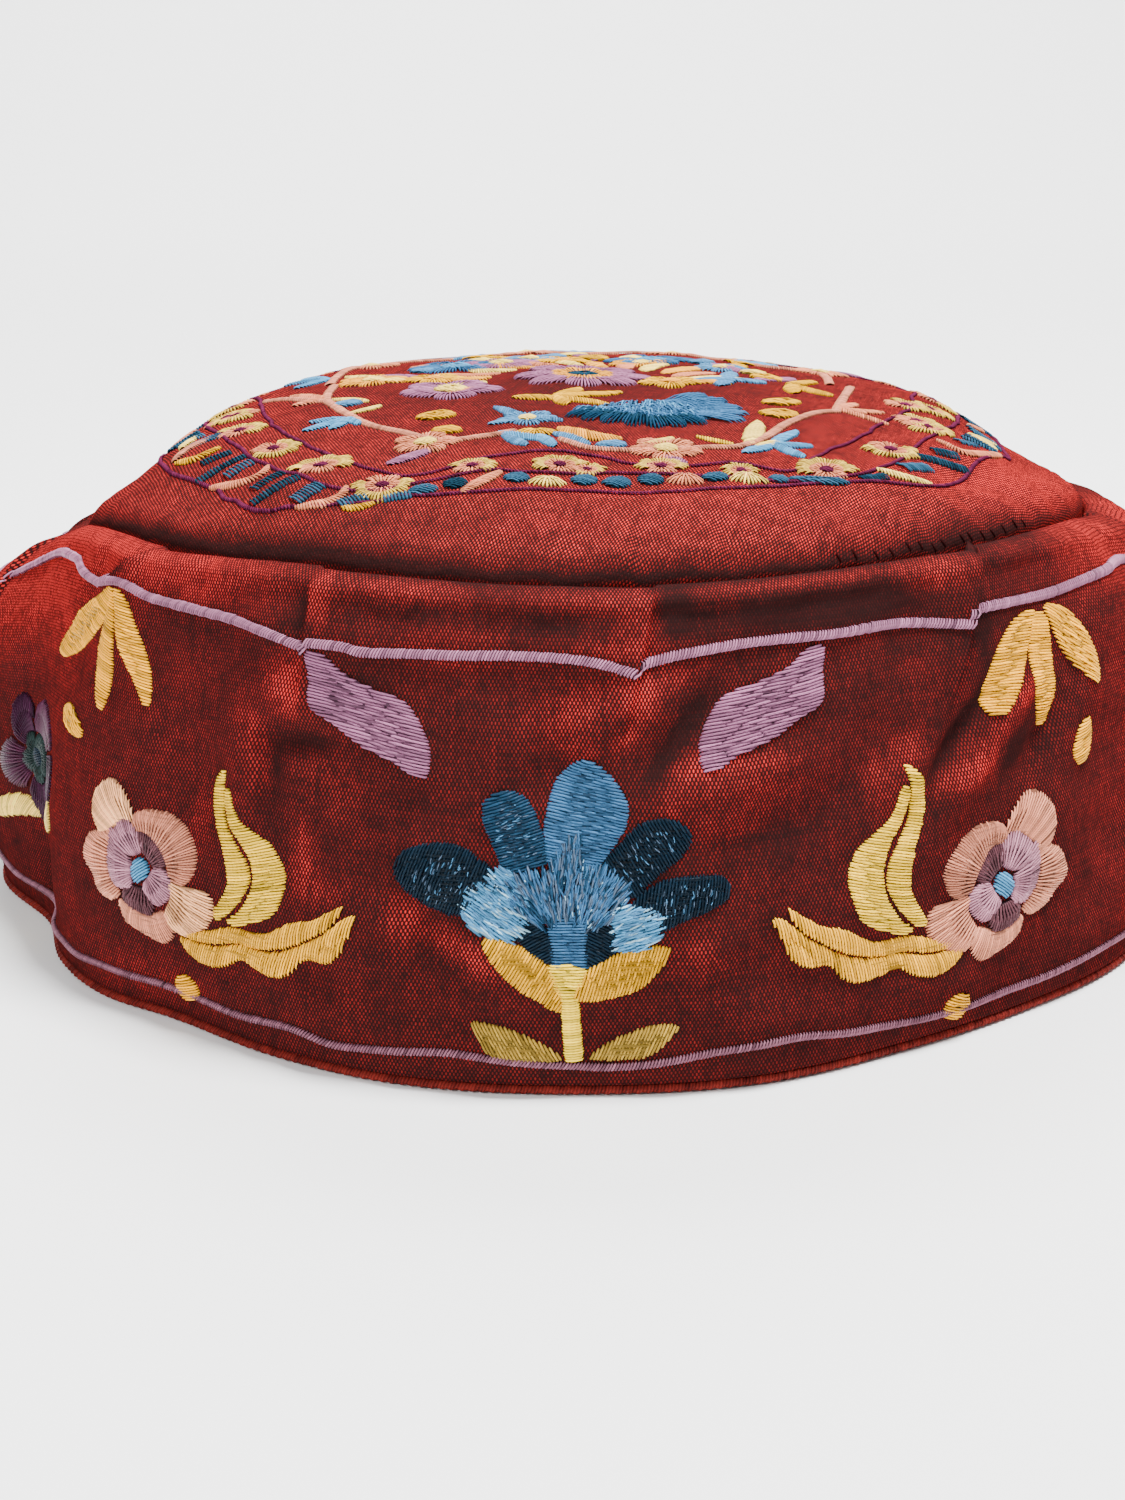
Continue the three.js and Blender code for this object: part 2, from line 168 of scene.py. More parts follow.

# Painted highlights and painted shade on the shot silk, where more of its red warp or of its dark weft
# shows: angle, way down (or share of the crown's radius), half width, half height, lean, strength;
# a minus sign shows the dark weft as painted shade, as along the seams and the pleats.
BAND_PAINTED_LIGHT = [
    # between the seam and the upper cord
    [-46, 0.035, 15, 0.05, 0, 0.42], [-66, 0.1, 12, 0.16, 0, 0.45],
    [-26.6, 0.085, 0.9, 0.045, 0, -0.16], [-24.5, 0.05, 0.9, 0.06, 0, 0.34],
    [-17, 0.026, 6, 0.016, 0, 0.22], [-12, 0.1, 4, 0.02, 0, 0.14], [0, 0.028, 5, 0.018, 0, 0.18],
    [4.4, 0.06, 1.6, 0.05, 0, 0.3], [2.5, 0.115, 4, 0.018, 0, 0.22], [7.6, 0.05, 1.6, 0.05, 0, -0.16],
    [21, 0.016, 12, 0.008, 0, 0.12], [22, 0.125, 13, 0.009, 0, 0.05], [23, 0.07, 11, 0.035, 0, -0.14],
    [-10, 0.075, 12, 0.022, 0, -0.05], [0, 0, 360, 0.007, 0, -0.08],
    [-49.7, 0.05, 0.8, 0.05, -55, -0.4], [34.5, 0.03, 3.2, 0.03, 0, 0.26], [60, 0.04, 7, 0.08, 0, 0.34],
    [-14, 0.135, 9, 0.01, 0, 0.12],
    # below the left pleat
    [-26.5, 0.235, 0.98, 0.0492, 0, 0.74], [-28.2, 0.22, 1.2, 0.05, 0, 0.18],
    [-29.6, 0.37, 0.9, 0.09, 14, 0.2], [-24.2, 0.34, 2.8, 0.022, 0, -0.1],
    [-27.6, 0.44, 1.2, 0.09, 0, -0.1], [-22, 0.4, 3, 0.06, 0, 0.09], [-11, 0.155, 3, 0.012, 0, 0.16],
    [-19, 0.22, 3, 0.05, 0, -0.05],
    # below the middle pleat
    [4, 0.205, 1.4, 0.0369, 0, 0.63], [3.2, 0.285, 0.74, 0.0246, -20, 0.33],
    [-1.4, 0.235, 2.4, 0.05, -26, 0.26], [-0.6, 0.31, 1.3, 0.0205, 0, 0.22],
    [7.4, 0.3, 1, 0.08, -30, -0.2], [9.8, 0.345, 2.1, 0.023, -30, 0.46],
    [15.4, 0.345, 2.5, 0.0164, 0, 0.25], [12, 0.39, 5, 0.03, 0, 0.16],
    [6.6, 0.43, 0.82, 0.0246, 0, 0.22], [12, 0.46, 5, 0.04, 0, 0.1], [7.5, 0.17, 2, 0.03, 0, 0.16],
    [16, 0.5, 5, 0.04, 0, -0.05],
    # below the right pleat
    [38.6, 0.16, 0.7, 0.08, 0, -0.2], [28.6, 0.37, 1.4, 0.0287, 0, 0.3],
    [25.6, 0.42, 1.4, 0.04, 0, 0.2], [36.6, 0.44, 2, 0.0287, -26, 0.46],
    [33.2, 0.455, 1.6, 0.018, 0, 0.22], [43, 0.31, 1.8, 0.0287, -30, 0.25],
    [39.8, 0.37, 1.4, 0.04, -38, 0.22], [34.6, 0.37, 1, 0.07, -42, -0.2],
    [41.5, 0.42, 1.4, 0.05, -30, -0.14],
    # further down
    [-8.6, 0.735, 1.1, 0.0287, 20, 0.55], [-11.4, 0.7, 1.5, 0.0246, 20, 0.24],
    [-24.4, 0.58, 0.9, 0.07, 0, 0.26], [-14.6, 0.66, 1.2, 0.05, 0, 0.26],
    [-22, 0.63, 2.6, 0.03, 0, 0.14], [8.6, 0.72, 1.8, 0.05, -20, 0.14],
    [31.6, 0.795, 0.98, 0.0164, 0, 0.25], [-36.4, 0.55, 0.9, 0.06, 0, 0.18],
    [-39, 0.34, 10, 0.18, 0, 0.035], [-60, 0.52, 7, 0.36, 0, 0.07], [62, 0.55, 8, 0.4, 0, 0.1],
    [-43, 0.93, 8, 0.05, 0, 0.1],
    # sides and back
    [80, 0.05, 9, 0.07, 0, 0.34], [-84, 0.2, 9, 0.12, 0, 0.35], [84, 0.18, 10, 0.12, 0, 0.34],
    [112, 0.3, 6, 0.07, -20, 0.45], [138, 0.22, 7, 0.06, 20, 0.36], [162, 0.36, 6, 0.06, -30, 0.4],
    [-160, 0.26, 7, 0.06, 24, 0.42], [-128, 0.34, 5, 0.08, -20, 0.4], [-104, 0.44, 6, 0.07, 20, 0.34],
    [178, 0.62, 8, 0.05, 0, 0.22], [-140, 0.6, 6, 0.06, 20, 0.24], [128, 0.56, 6, 0.05, -16, 0.26],
    [98, 0.5, 6, 0.06, 20, 0.24],
]
# The crown's, by share of its radius; the dark ring at its edge is a painted shadow along the seam.
CROWN_PAINTED_LIGHT = [
    [0, 0, 360, 0.8, 0, -0.31], [0, 1, 360, 0.01, 0, -0.26], [-48, 0.93, 15, 0.13, 0, -0.07],
    [-26, 0.93, 14, 0.1, 0, -0.12], [-66, 0.86, 10, 0.12, 0, -0.08], [-10, 0.985, 60, 0.02, 0, -0.12],
    [60, 0.92, 18, 0.08, 0, 0.2], [20, 0.88, 14, 0.05, 0, 0.08], [44, 0.975, 9, 0.03, 0, -0.2],
    [-90, 0.9, 12, 0.12, 0, 0.16], [120, 0.9, 16, 0.08, 0, 0.1], [-140, 0.9, 16, 0.08, 0, -0.14],
    [170, 0.9, 16, 0.08, 0, 0.1],
]

# Buckles near the crown's edge: angle, radius, half width, half length, depth.
BUCKLES = [
    [-50, 0.9, 7, 0.07, 0.45], [-36, 0.88, 6, 0.06, -0.3], [-82, 0.86, 9, 0.08, 0.15],
    [8, 0.8, 12, 0.08, 0.2], [52, 0.88, 8, 0.07, 0.35], [84, 0.86, 16, 0.11, 1.1],
    [125, 0.86, 9, 0.08, 0.45], [170, 0.84, 10, 0.09, 0.5], [-135, 0.86, 9, 0.08, 0.45],
]


def turn_to(angle, start):
    return (angle - start + 180) % 360 - 180


def smoothstep(x, low, high):
    t = np.clip((x - low) / (high - low), 0, 1)
    return t * t * (3 - 2 * t)


def smooth_curve(knots, values, x):
    """A smooth curve through the values, one for each knot."""
    slopes = np.gradient(values, knots)
    k = np.clip(np.searchsorted(knots, x, side="right") - 1, 0, len(knots) - 2)
    span = knots[k + 1] - knots[k]
    t = (x - knots[k]) / span
    return ((2 * t**3 - 3 * t**2 + 1) * values[k] + (t**3 - 2 * t**2 + t) * span * slopes[k]
            + (3 * t**2 - 2 * t**3) * values[k + 1] + (t**3 - t**2) * span * slopes[k + 1])


def round_value(table, angle, column):
    """A value from a table of angles that closes round the cap."""
    turn = np.zeros(table.shape[1])
    turn[0] = 360
    rows = np.vstack([table[-3:] - turn, table, table[:3] + turn])
    start = table[0, 0]
    return smooth_curve(rows[:, 0], rows[:, column], (np.asarray(angle, float) - start) % 360 + start)


def seam_height(angle):
    return SEAM_HEIGHT * round_value(ROUND, angle, 1)


def pleat_lift(angle, down):
    lift = 0
    for seam, lean, length, step in PLEATS:
        fade = 1 - smoothstep(down, length * 0.35, length)
        across = np.sign(step) * np.radians(turn_to(angle, seam + lean * down)) * CROWN_RADIUS
        rise = np.where(across > 0, 1 - across / PLEAT_SHADOW, 1 + across / PLEAT_LEAD)
        lift = lift + PLEAT_STEP * abs(step) * fade * np.clip(rise, 0, 1)
    return lift


def fold_depth(angle, down):
    depth = 0
    for middle, place, wide, high, lean, share in FOLDS:
        a = (down - place) / high
        b = turn_to(angle, middle + lean * (down - place)) / wide
        depth = depth + FOLD_DEPTH * share * np.exp(-(a * a + b * b))
    return depth * smoothstep(down, 0, 0.08) * (1 - smoothstep(down, 0.9, 1))


def paint_light(table, angle, down, base):
    """How much of the red warp shows, from 0 to 1: painted light, from painted shade at 0 to painted
    highlight at 1.
    """
    tone = base
    for middle, place, wide, high, lean, share in table:
        a = (down - place) / high
        b = turn_to(angle, middle + lean * (down - place)) / wide
        tone = tone + share * np.exp(-(a * a + b * b))
    return np.clip(tone, 0, 1)


class Ripple:
    """Soft unevenness of handled cloth: a few slow waves in every direction, always the same."""

    def __init__(self, seed, shortest, longest, count=18):
        draw = np.random.default_rng(seed)
        turn = draw.uniform(0, 2 * math.pi, count)
        length = np.exp(draw.uniform(math.log(shortest), math.log(longest), count))
        self.x = 2 * math.pi * np.cos(turn) / length
        self.y = 2 * math.pi * np.sin(turn) / length
        self.shift = draw.uniform(0, 2 * math.pi, count)
        self.size = (length / longest) ** 0.8 / math.sqrt(count)

    def __call__(self, x, y):
        total = 0
        for a, b, shift, size in zip(self.x, self.y, self.shift, self.size):
            total = total + size * np.sin(a * x + b * y + shift)
        return total


band_ripple = Ripple(3, 9, 30)
crown_ripple = Ripple(5, 9, 34)
pucker_ripple = Ripple(11, 3.5, 9)


def polar(angle, radius, height):
    turn = np.radians(angle)
    x, y = radius * np.sin(turn), -radius * np.cos(turn)
    return np.stack(np.broadcast_arrays(x, y, np.asarray(height, float)), -1)


def band_point(angle, s):
    puff = np.clip(round_value(ROUND, angle, 3), 0, 1)
    flare = RIM_RADIUS * round_value(ROUND, angle, 2) - CROWN_RADIUS
    drop = smooth_curve(DOWN[:, 0], DOWN[:, 1], s)
    out = (1 - puff) * smooth_curve(DOWN[:, 0], DOWN[:, 2], s)
    out = out + puff * smooth_curve(DOWN[:, 0], DOWN[:, 3], s)
    seam = seam_height(angle)
    height = seam + (BAND_BOTTOM - seam) * drop
    lift = pleat_lift(angle, s) * smoothstep(s, -0.03, -0.005)
    x, y = np.radians(turn_to(angle, 0)) * BAND_TURN, s * BAND_LENGTH
    blend = smoothstep(np.abs(turn_to(angle, 180)), 0, 12)
    soft = BAND_SWELL * band_ripple(x, y) * smoothstep(s, 0.02, 0.12) * (1 - smoothstep(s, 0.93, 1.0))
    pucker = BAND_PUCKER * pucker_ripple(x, y * 0.35) * (1 - smoothstep(s, 0.03, 0.13))
    pucker = pucker * smoothstep(s, -0.01, 0.02)
    radius = CROWN_RADIUS + out * flare - fold_depth(angle, s) + lift + (soft + pucker) * blend
    return polar(angle, radius, height)


def crown_point(angle, share):
    sag = SEAM_HEIGHT - seam_height(angle)
    border = smoothstep(share, 0.5, 1) ** 2
    buckle = 0
    for middle, place, wide, long, part in BUCKLES:
        a = turn_to(angle, middle) / wide
        b = (share - place) / long
        buckle = buckle + FOLD_DEPTH * part * np.exp(-(a * a + b * b))
    buckle = buckle * (1 - smoothstep(share, 0.96, 1))
    rise = smooth_curve(ACROSS[:, 0], ACROSS[:, 1], share)
    spot = polar(angle, share * (CROWN_RADIUS - PIECE_GAP / 2), 0 * share)
    soft = CROWN_SWELL * crown_ripple(spot[..., 0], spot[..., 1]) * (1 - smoothstep(share, 0.93, 1.0))
    gather = pucker_ripple(np.radians(turn_to(angle, 0)) * CROWN_RADIUS, share * 22)
    gather = CROWN_GATHER * gather * smoothstep(share, 0.88, 0.96)
    gather = gather * smoothstep(np.abs(turn_to(angle, 180)), 0, 12)
    spot[..., 2] = SEAM_HEIGHT + rise * CROWN_RISE - sag * border - buckle + soft + gather
    return spot


def on_band(x, y):
    return band_point(np.degrees(x / BAND_TURN), y / BAND_LENGTH)


def on_crown(x, y):
    share = np.hypot(x, y) / (CROWN_RADIUS - PIECE_GAP / 2)
    return crown_point(np.degrees(np.arctan2(x, -y)), share)


def cloth_frame(place, x, y, step=0.35):
    """The point and the outward normal of the cloth at flat coordinates x and y."""
    across = place(x + step, y) - place(x - step, y)
    down = place(x, y + step) - place(x, y - step)
    normal = np.cross(down, across) if place is on_band else np.cross(across, down)
    return place(x, y), normal / np.linalg.norm(normal, axis=-1, keepdims=True)


# ---- meshes ----


def finish_piece(piece, material, replaced=()):
    piece.data.materials.clear()
    piece.data.materials.append(material)
    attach(piece, "root")
    if replaced:
        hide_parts(*replaced)
    return piece


def deselect():
    if bpy.context.mode != "OBJECT":
        bpy.ops.object.mode_set(mode="OBJECT")
    bpy.ops.object.select_all(action="DESELECT")


def cloth_grid(name, columns, rows, place, flat, tone=None):
    """A sheet from a grid primitive, wrapped round the cap and sewn to itself at the back."""
    deselect()
    bpy.ops.mesh.primitive_grid_add(x_subdivisions=len(columns) - 1, y_subdivisions=len(rows) - 1,
                                    size=2, calc_uvs=True)
    piece = bpy.context.object
    piece.name = piece.data.name = name
    mesh = piece.data
    spots = np.empty(len(mesh.vertices) * 3)
    mesh.vertices.foreach_get("co", spots)
    spots = spots.reshape(-1, 3)
    across = np.rint((spots[:, 0] + 1) / 2 * (len(columns) - 1)).astype(int)
    down = np.rint((1 - spots[:, 1]) / 2 * (len(rows) - 1)).astype(int)
    column, row = columns[across], rows[down]
    mesh.vertices.foreach_set("co", (place(column, row) * MM).ravel())
    corners = np.empty(len(mesh.loops), dtype=np.int32)
    mesh.loops.foreach_get("vertex_index", corners)
    pattern = np.stack(flat(column, row), -1)
    mesh.uv_layers.active.data.foreach_set("uv", pattern[corners].ravel())
    # tone gives each point its painted highlights and shade, kept as an attribute for the silk
    if tone:
        painted_light_and_tone = mesh.attributes.new("painted_light_share", "FLOAT", "POINT")
        painted_light_and_tone.data.foreach_set("value", np.asarray(tone(column, row), float))
    mesh.update()
    bpy.ops.object.mode_set(mode="EDIT")
    bpy.ops.mesh.select_all(action="SELECT")
    bpy.ops.mesh.remove_doubles(threshold=0.00001)
    bpy.ops.object.mode_set(mode="OBJECT")
    return piece


def thicken(piece, thickness):
    wall = piece.modifiers.new("cloth", "SOLIDIFY")
    wall.thickness = thickness * MM
    wall.offset = -1
    bpy.ops.object.modifier_apply(modifier=wall.name)
    bpy.ops.object.shade_smooth()


def leaned(angle, down):
    """Columns lean with the pleats on either side of them, so that each fold stays sharp."""
    edges = np.array([row[0] for row in PLEATS], float)
    place = (angle - edges[0]) % 360 + edges[0]
    ends = np.append(edges, edges[0] + 360)
    k = np.clip(np.searchsorted(ends, place, side="right") - 1, 0, len(edges) - 1)
    table = np.array(PLEATS + [PLEATS[0]], float)
    share = np.clip((place - ends[k] - 1) / (ends[k + 1] - ends[k] - 2), 0, 1)
    low = table[k, 1] * np.minimum(down, table[k, 2])
    high = table[k + 1, 1] * np.minimum(down, table[k + 1, 2])
    return angle + low + (high - low) * share


def walked(points):
    """How far along the cloth each point of a line lies."""
    return np.append(0, np.cumsum(np.linalg.norm(np.diff(points, axis=0), axis=1)))


def make_band(silk):
    even = np.linspace(-180, 180, 451)
    edges = [((row[0] + 180) % 360 - 180, math.copysign(1, row[3])) for row in PLEATS]
    keep = [a for a in even if all(abs(turn_to(a, edge)) > 0.85 for edge, side in edges)]
    for edge, side in edges:
        keep += [edge + side * shift for shift in (-0.5, -0.12, 0.0, 0.16, 0.34, 0.5, 0.8)]
    columns = np.array(sorted(keep))
    rows = np.concatenate([[-0.05, -0.03, -0.015, -0.006], np.linspace(0, 0.06, 12)[:-1],
                           np.linspace(0.06, 1, 70)])

    def place(angle, s):
        return band_point(leaned(angle, np.maximum(s, 0)), s)

    fine = np.linspace(-0.05, 1, 400)
    run = walked(band_point(20.0, fine))

    def flat(angle, s):
        return np.radians(leaned(angle, np.maximum(s, 0))) * BAND_TURN, np.interp(s, fine, run)

    # the band's painted highlights and shade
    def tone(angle, s):
        return paint_light(BAND_PAINTED_LIGHT, leaned(angle, np.maximum(s, 0)), s, BAND_PAINTED_BASE)

    piece = cloth_grid("side_band_silk", columns, rows, place, flat, tone)
    thicken(piece, CLOTH)
    return finish_piece(piece, silk, ["side_band"])


def make_crown(silk):
    columns = np.linspace(-180, 180, 361)
    rows = np.concatenate([np.linspace(0, 0.84, 60)[:-1], np.linspace(0.84, 1, 34),
                           [1.012, 1.026, 1.04]])

    def place(angle, share):
        spot = crown_point(angle, np.minimum(share, 1))
        spot[..., 2] -= np.maximum(share - 1, 0) * CROWN_RADIUS
        return spot

    fine = np.linspace(0, 1.04, 400)
    run = walked(place(20.0, fine))

    def flat(angle, share):
        spot = polar(angle + WEAVE_TURN, np.interp(share, fine, run), 0 * share)
        return spot[..., 0], spot[..., 1]

    # the crown's painted highlights and shade
    def tone(angle, share):
        return paint_light(CROWN_PAINTED_LIGHT, angle, share, CROWN_PAINTED_BASE)

    piece = cloth_grid("crown_silk", columns, rows, place, flat, tone)
    thicken(piece, CLOTH)
    return finish_piece(piece, silk, ["crown"])


def make_edging(cord):
    """The rim's roll of cloth, wound with thread all the way round."""
    columns = np.linspace(-180, 180, 2161)
    rows = np.linspace(0, 1, 11)

    def place(angle, turn):
        rim = RIM_RADIUS * round_value(ROUND, angle, 2) - EDGING_INSET
        around = 2 * math.pi * turn
        ridge = 1 + 0.10 * np.sin(np.radians(angle) * EDGING_WINDS + around)
        out = EDGING_RADIUS * ridge * np.sin(around)
        return polar(angle, rim + out, 0.79 + 0.70 * ridge * np.cos(around))

    def flat(angle, turn):
        return np.radians(angle) * BAND_TURN, turn * 6.0

    piece = cloth_grid("hem_edging_roll", columns, rows, place, flat)
    bpy.ops.object.shade_smooth()
    return finish_piece(piece, cord, ["hem_edging"])


# ---- stitches ----


THREADS = {
    "lilac": (0.273, 0.105, 0.188), "cord lilac": (0.32, 0.135, 0.217),
    "shaded lilac": (0.207, 0.085, 0.12), "flower lilac": (0.38, 0.17, 0.225),
    "mauve": (0.095, 0.036, 0.045), "plum": (0.055, 0.011, 0.032), "ring plum": (0.1, 0.014, 0.042),
    "purple": (0.032, 0.006, 0.022), "steel blue": (0.038, 0.118, 0.24),
    "slate blue": (0.011, 0.04, 0.08), "navy": (0.004, 0.0125, 0.023), "mid peach": (0.66, 0.25, 0.15),
    "fir green": (0.01, 0.022, 0.02), "seam brown": (0.02, 0.004, 0.004), "straw": (0.84, 0.41, 0.016),
    "dark teal": (0.012, 0.038, 0.062), "teal blue": (0.028, 0.085, 0.145),
    "grey blue": (0.075, 0.115, 0.175), "light blue": (0.075, 0.26, 0.46),
    "pale blue": (0.3, 0.52, 0.66), "blossom blue": (0.07, 0.2, 0.36), "gold": (0.66, 0.33, 0.01),
    "bright gold": (0.92, 0.42, 0.01), "pale gold": (0.97, 0.68, 0.03), "olive": (0.86, 0.54, 0.025),
    "dull olive": (0.38, 0.235, 0.034), "peach": (0.52, 0.19, 0.115), "pale peach": (0.97, 0.47, 0.22),
    "pink": (0.62, 0.2, 0.1), "pale olive": (0.62, 0.4, 0.06), "yellow": (0.86, 0.6, 0.12),
    "orange gold": (0.72, 0.3, 0.03),
}


def closed_curve(points, step=0.35):
    """A smooth closed outline through the points, as a polygon."""
    points = np.asarray(points, float)
    before, after, beyond = np.roll(points, 1, 0), np.roll(points, -1, 0), np.roll(points, -2, 0)
    out = []
    for a, b, c, d in zip(before, points, after, beyond):
        count = max(3, int(np.hypot(*(c - b)) / step))
        t = np.arange(count)[:, None] / count
        out.append(0.5 * (2 * b + (c - a) * t + (2 * a - 5 * b + 4 * c - d) * t**2
                          + (3 * b - a - 3 * c + d) * t**3))
    return np.vstack(out)


def open_curve(points, step):
    """A smooth open line through the points, evenly divided."""
    points = np.asarray(points, float)
    if len(points) > 2:
        grown = np.vstack([2 * points[0] - points[1], points, 2 * points[-1] - points[-2]])
        fine = []
        for a, b, c, d in zip(grown[:-3], grown[1:-2], grown[2:-1], grown[3:]):
            t = np.linspace(0, 1, 12, endpoint=False)[:, None]
            fine.append(0.5 * (2 * b + (c - a) * t + (2 * a - 5 * b + 4 * c - d) * t**2
                               + (3 * b - a - 3 * c + d) * t**3))
        fine.append(points[-1:])
        points = np.vstack(fine)
    lengths = np.append(0, np.cumsum(np.hypot(*np.diff(points, axis=0).T)))
    count = max(2, int(round(lengths[-1] / step)))
    spots = np.linspace(0, lengths[-1], count)
    return np.stack([np.interp(spots, lengths, points[:, k]) for k in (0, 1)], -1)


def crossings(outline, origin, direction):
    """Where a straight line crosses a closed outline, as distances along the line."""
    normal = np.array([-direction[1], direction[0]])
    side = (outline - origin) @ normal
    after = np.roll(side, -1)
    hit = (side < 0) != (after < 0)
    share = side[hit] / (side[hit] - after[hit])
    points = outline[hit] + (np.roll(outline, -1, 0)[hit] - outline[hit]) * share[:, None]
    return np.sort((points - origin) @ direction)


def inside(marks, shortest=SHORTEST_STITCH):
    """The stretches of the line that lie inside the outline, without the shortest ones."""
    return [(low, high) for low, high in zip(marks[::2], marks[1::2]) if high - low >= shortest]


class Needlework:
    """Stitches of one group of motifs on one piece of cloth."""

    def __init__(self, place, strength=1.0):
        self.place = place
        self.strength = strength
        self.rows = []
        self.shift = (0.0, 0.0)
        self.mirror = 1
        self.turn = 0.0

    def at(self, x, y, mirror=False, turn=0.0):
        self.shift = (x, y)
        self.mirror = -1 if mirror else 1
        self.turn = math.radians(turn)
        return self

    def laid(self, points):
        points = np.asarray(points, float) * [self.mirror, 1]
        c, s = math.cos(self.turn), math.sin(self.turn)
        return points @ np.array([[c, s], [-s, c]]) + self.shift

    def stitch(self, start, end, colour, width=THREAD_WIDTH, rise=0.16, shade=1.0):
        # strength and shade below 1 paint a stitch darker: painted shade on the crown's stitches, the
        # first layer under satin and the cords' darker cores; the spread is a random tone
        shade = self.strength * shade * (1 + random.normal(0, SHADE_SPREAD))
        tint = [max(0.0, channel * shade) for channel in THREADS[colour]]
        self.rows.append([*start, *end, width, rise, *tint])

    def satin(self, outline, lean, colour, longest=LONGEST_STITCH, rise=0.2):
        """Parallel stitches across a closed outline, rising to the right by lean degrees.

        A row longer than longest is sewn in several stitches, split at uneven places."""
        self.shaded_underlay(outline, colour)
        outline = closed_curve(self.laid(outline))
        lean = math.radians(lean) * self.mirror
        along = np.array([math.cos(lean), -math.sin(lean)])
        across = np.array([-along[1], along[0]])
        reach = outline @ across
        for at in np.arange(reach.min() + SATIN_PITCH / 3, reach.max(), SATIN_PITCH):
            marks = crossings(outline, across * at, along)
            for low, high in inside(marks, 0):
                low -= abs(random.normal(0, RAGGED))
                high += abs(random.normal(0, RAGGED))
                if high - low < SHORTEST_STITCH:
                    continue
                count = int(math.ceil((high - low) / longest))
                cuts = [low + (high - low) * (k + random.uniform(-UNEVEN_SPLIT, UNEVEN_SPLIT)) / count
                        for k in range(1, count)]
                for a, b in zip([low, *cuts], [*cuts, high]):
                    drift = random.normal(0, DRIFT)
                    self.stitch(along * (a - OVERLAP) + across * (at + drift),
                                along * (b + OVERLAP) + across * (at - drift), colour, rise=rise)

    def shaded_underlay(self, outline, colour):
        """A flat first layer, so that no cloth shows between the stitches over it; sewn darker than they
        are, it paints shade in the gaps between them.
        """
        outline = closed_curve(self.laid(outline))
        for at in np.arange(outline[:, 1].min() + 0.35, outline[:, 1].max() - 0.3, UNDERLAY_PITCH):
            marks = crossings(outline, np.array([0.0, at]), np.array([1.0, 0.0]))
            for low, high in inside(marks, 2 * SHORTEST_STITCH):
                self.stitch((low + 0.3, at), (high - 0.3, at), colour, UNDERLAY_WIDTH, -0.13, 0.40)

    def fan(self, outline, centre, colour, rise=0.2):
        """Stitches that spread from a centre, across a closed outline."""
        self.shaded_underlay(outline, colour)
        outline = closed_curve(self.laid(outline))
        centre = self.laid([centre])[0]
        spread = outline - centre
        turns = np.unwrap(np.arctan2(spread[:, 1], spread[:, 0]))
        far = np.hypot(*spread.T).max()
        step = FAN_PITCH / far
        for k, turn in enumerate(np.arange(turns.min() + step / 2, turns.max(), step)):
            along = np.array([math.cos(turn), math.sin(turn)])
            marks = crossings(outline, centre, along)
            marks = marks[marks > 0]
            if len(marks) % 2:
                marks = np.append(0.2, marks)
            for low, high in inside(marks):
                short = 0.35 * (high - low) if k % 2 and low < 0.5 * far else 0
                self.stitch(centre + along * (low + short),
                            centre + along * (high + abs(random.normal(0, FAN_RAGGED))), colour, rise=rise)

    def meadow(self, outline, heading, colours, length, density, rise=0.3, spread=14, width=0.42):
        """Loose short stitches strewn over a closed outline; heading gives their direction.

        heading is a lean in degrees, or a point that they all spread from."""
        outline = closed_curve(self.laid(outline))
        low, high = outline.min(0), outline.max(0)
        count = int(np.prod(high - low) * density)
        centre = None if np.isscalar(heading) else self.laid([heading])[0]
        for _ in range(count):
            spot = random.uniform(low, high)
            marks = crossings(outline, spot, np.array([1.0, 0.0]))
            tilt = math.radians(random.normal(0, spread))
            size = length * random.uniform(0.6, 1.3)
            shade = colours[int(random.integers(len(colours)))]
            if (marks > 0).sum() % 2 == 0:
                continue
            if centre is None:
                turn = math.radians(heading) * self.mirror + tilt
                along = np.array([math.cos(turn), -math.sin(turn)])
            else:
                away = spot - centre
                turn = math.atan2(away[1], away[0]) + tilt
                along = np.array([math.cos(turn), math.sin(turn)])
            self.stitch(spot - along * size / 2, spot + along * size / 2, shade, width,
                        rise + random.uniform(-0.08, 0.12))

    def ribbon(self, line, width, lean, colour, pitch=0.42, rise=0.22, taper=0.0, thread=0.40):
        """Short stitches across a line; taper narrows it to a point at both ends."""
        path = open_curve(self.laid(line), pitch)
        heading = np.gradient(path, axis=0)
        heading /= np.linalg.norm(heading, axis=1, keepdims=True) + 1e-9
        lean = math.radians(lean) * self.mirror
        count = len(path)
        for k, (spot, ahead) in enumerate(zip(path, heading)):
            t = (k + 0.5) / count
            half = width / 2 * (1 if taper == 0 else (4 * t * (1 - t)) ** taper)
            c, s = math.cos(lean), math.sin(lean)
            across = np.array([ahead[0] * c + ahead[1] * s, ahead[1] * c - ahead[0] * s])
            half = max(half, 0.3) * (1 + random.normal(0, 0.05))
            self.stitch(spot - across * half, spot + across * half, colour, thread, rise)

    def core(self, line, width, colour, rise):
        """A darker cord under the wraps of a ribbon, which paints shade in the gaps between the wraps."""
        path = open_curve(self.laid(line), 2.0)
        for start, end in zip(path[:-1], path[1:]):
            self.stitch(start, end, colour, width, rise, shade=0.30)

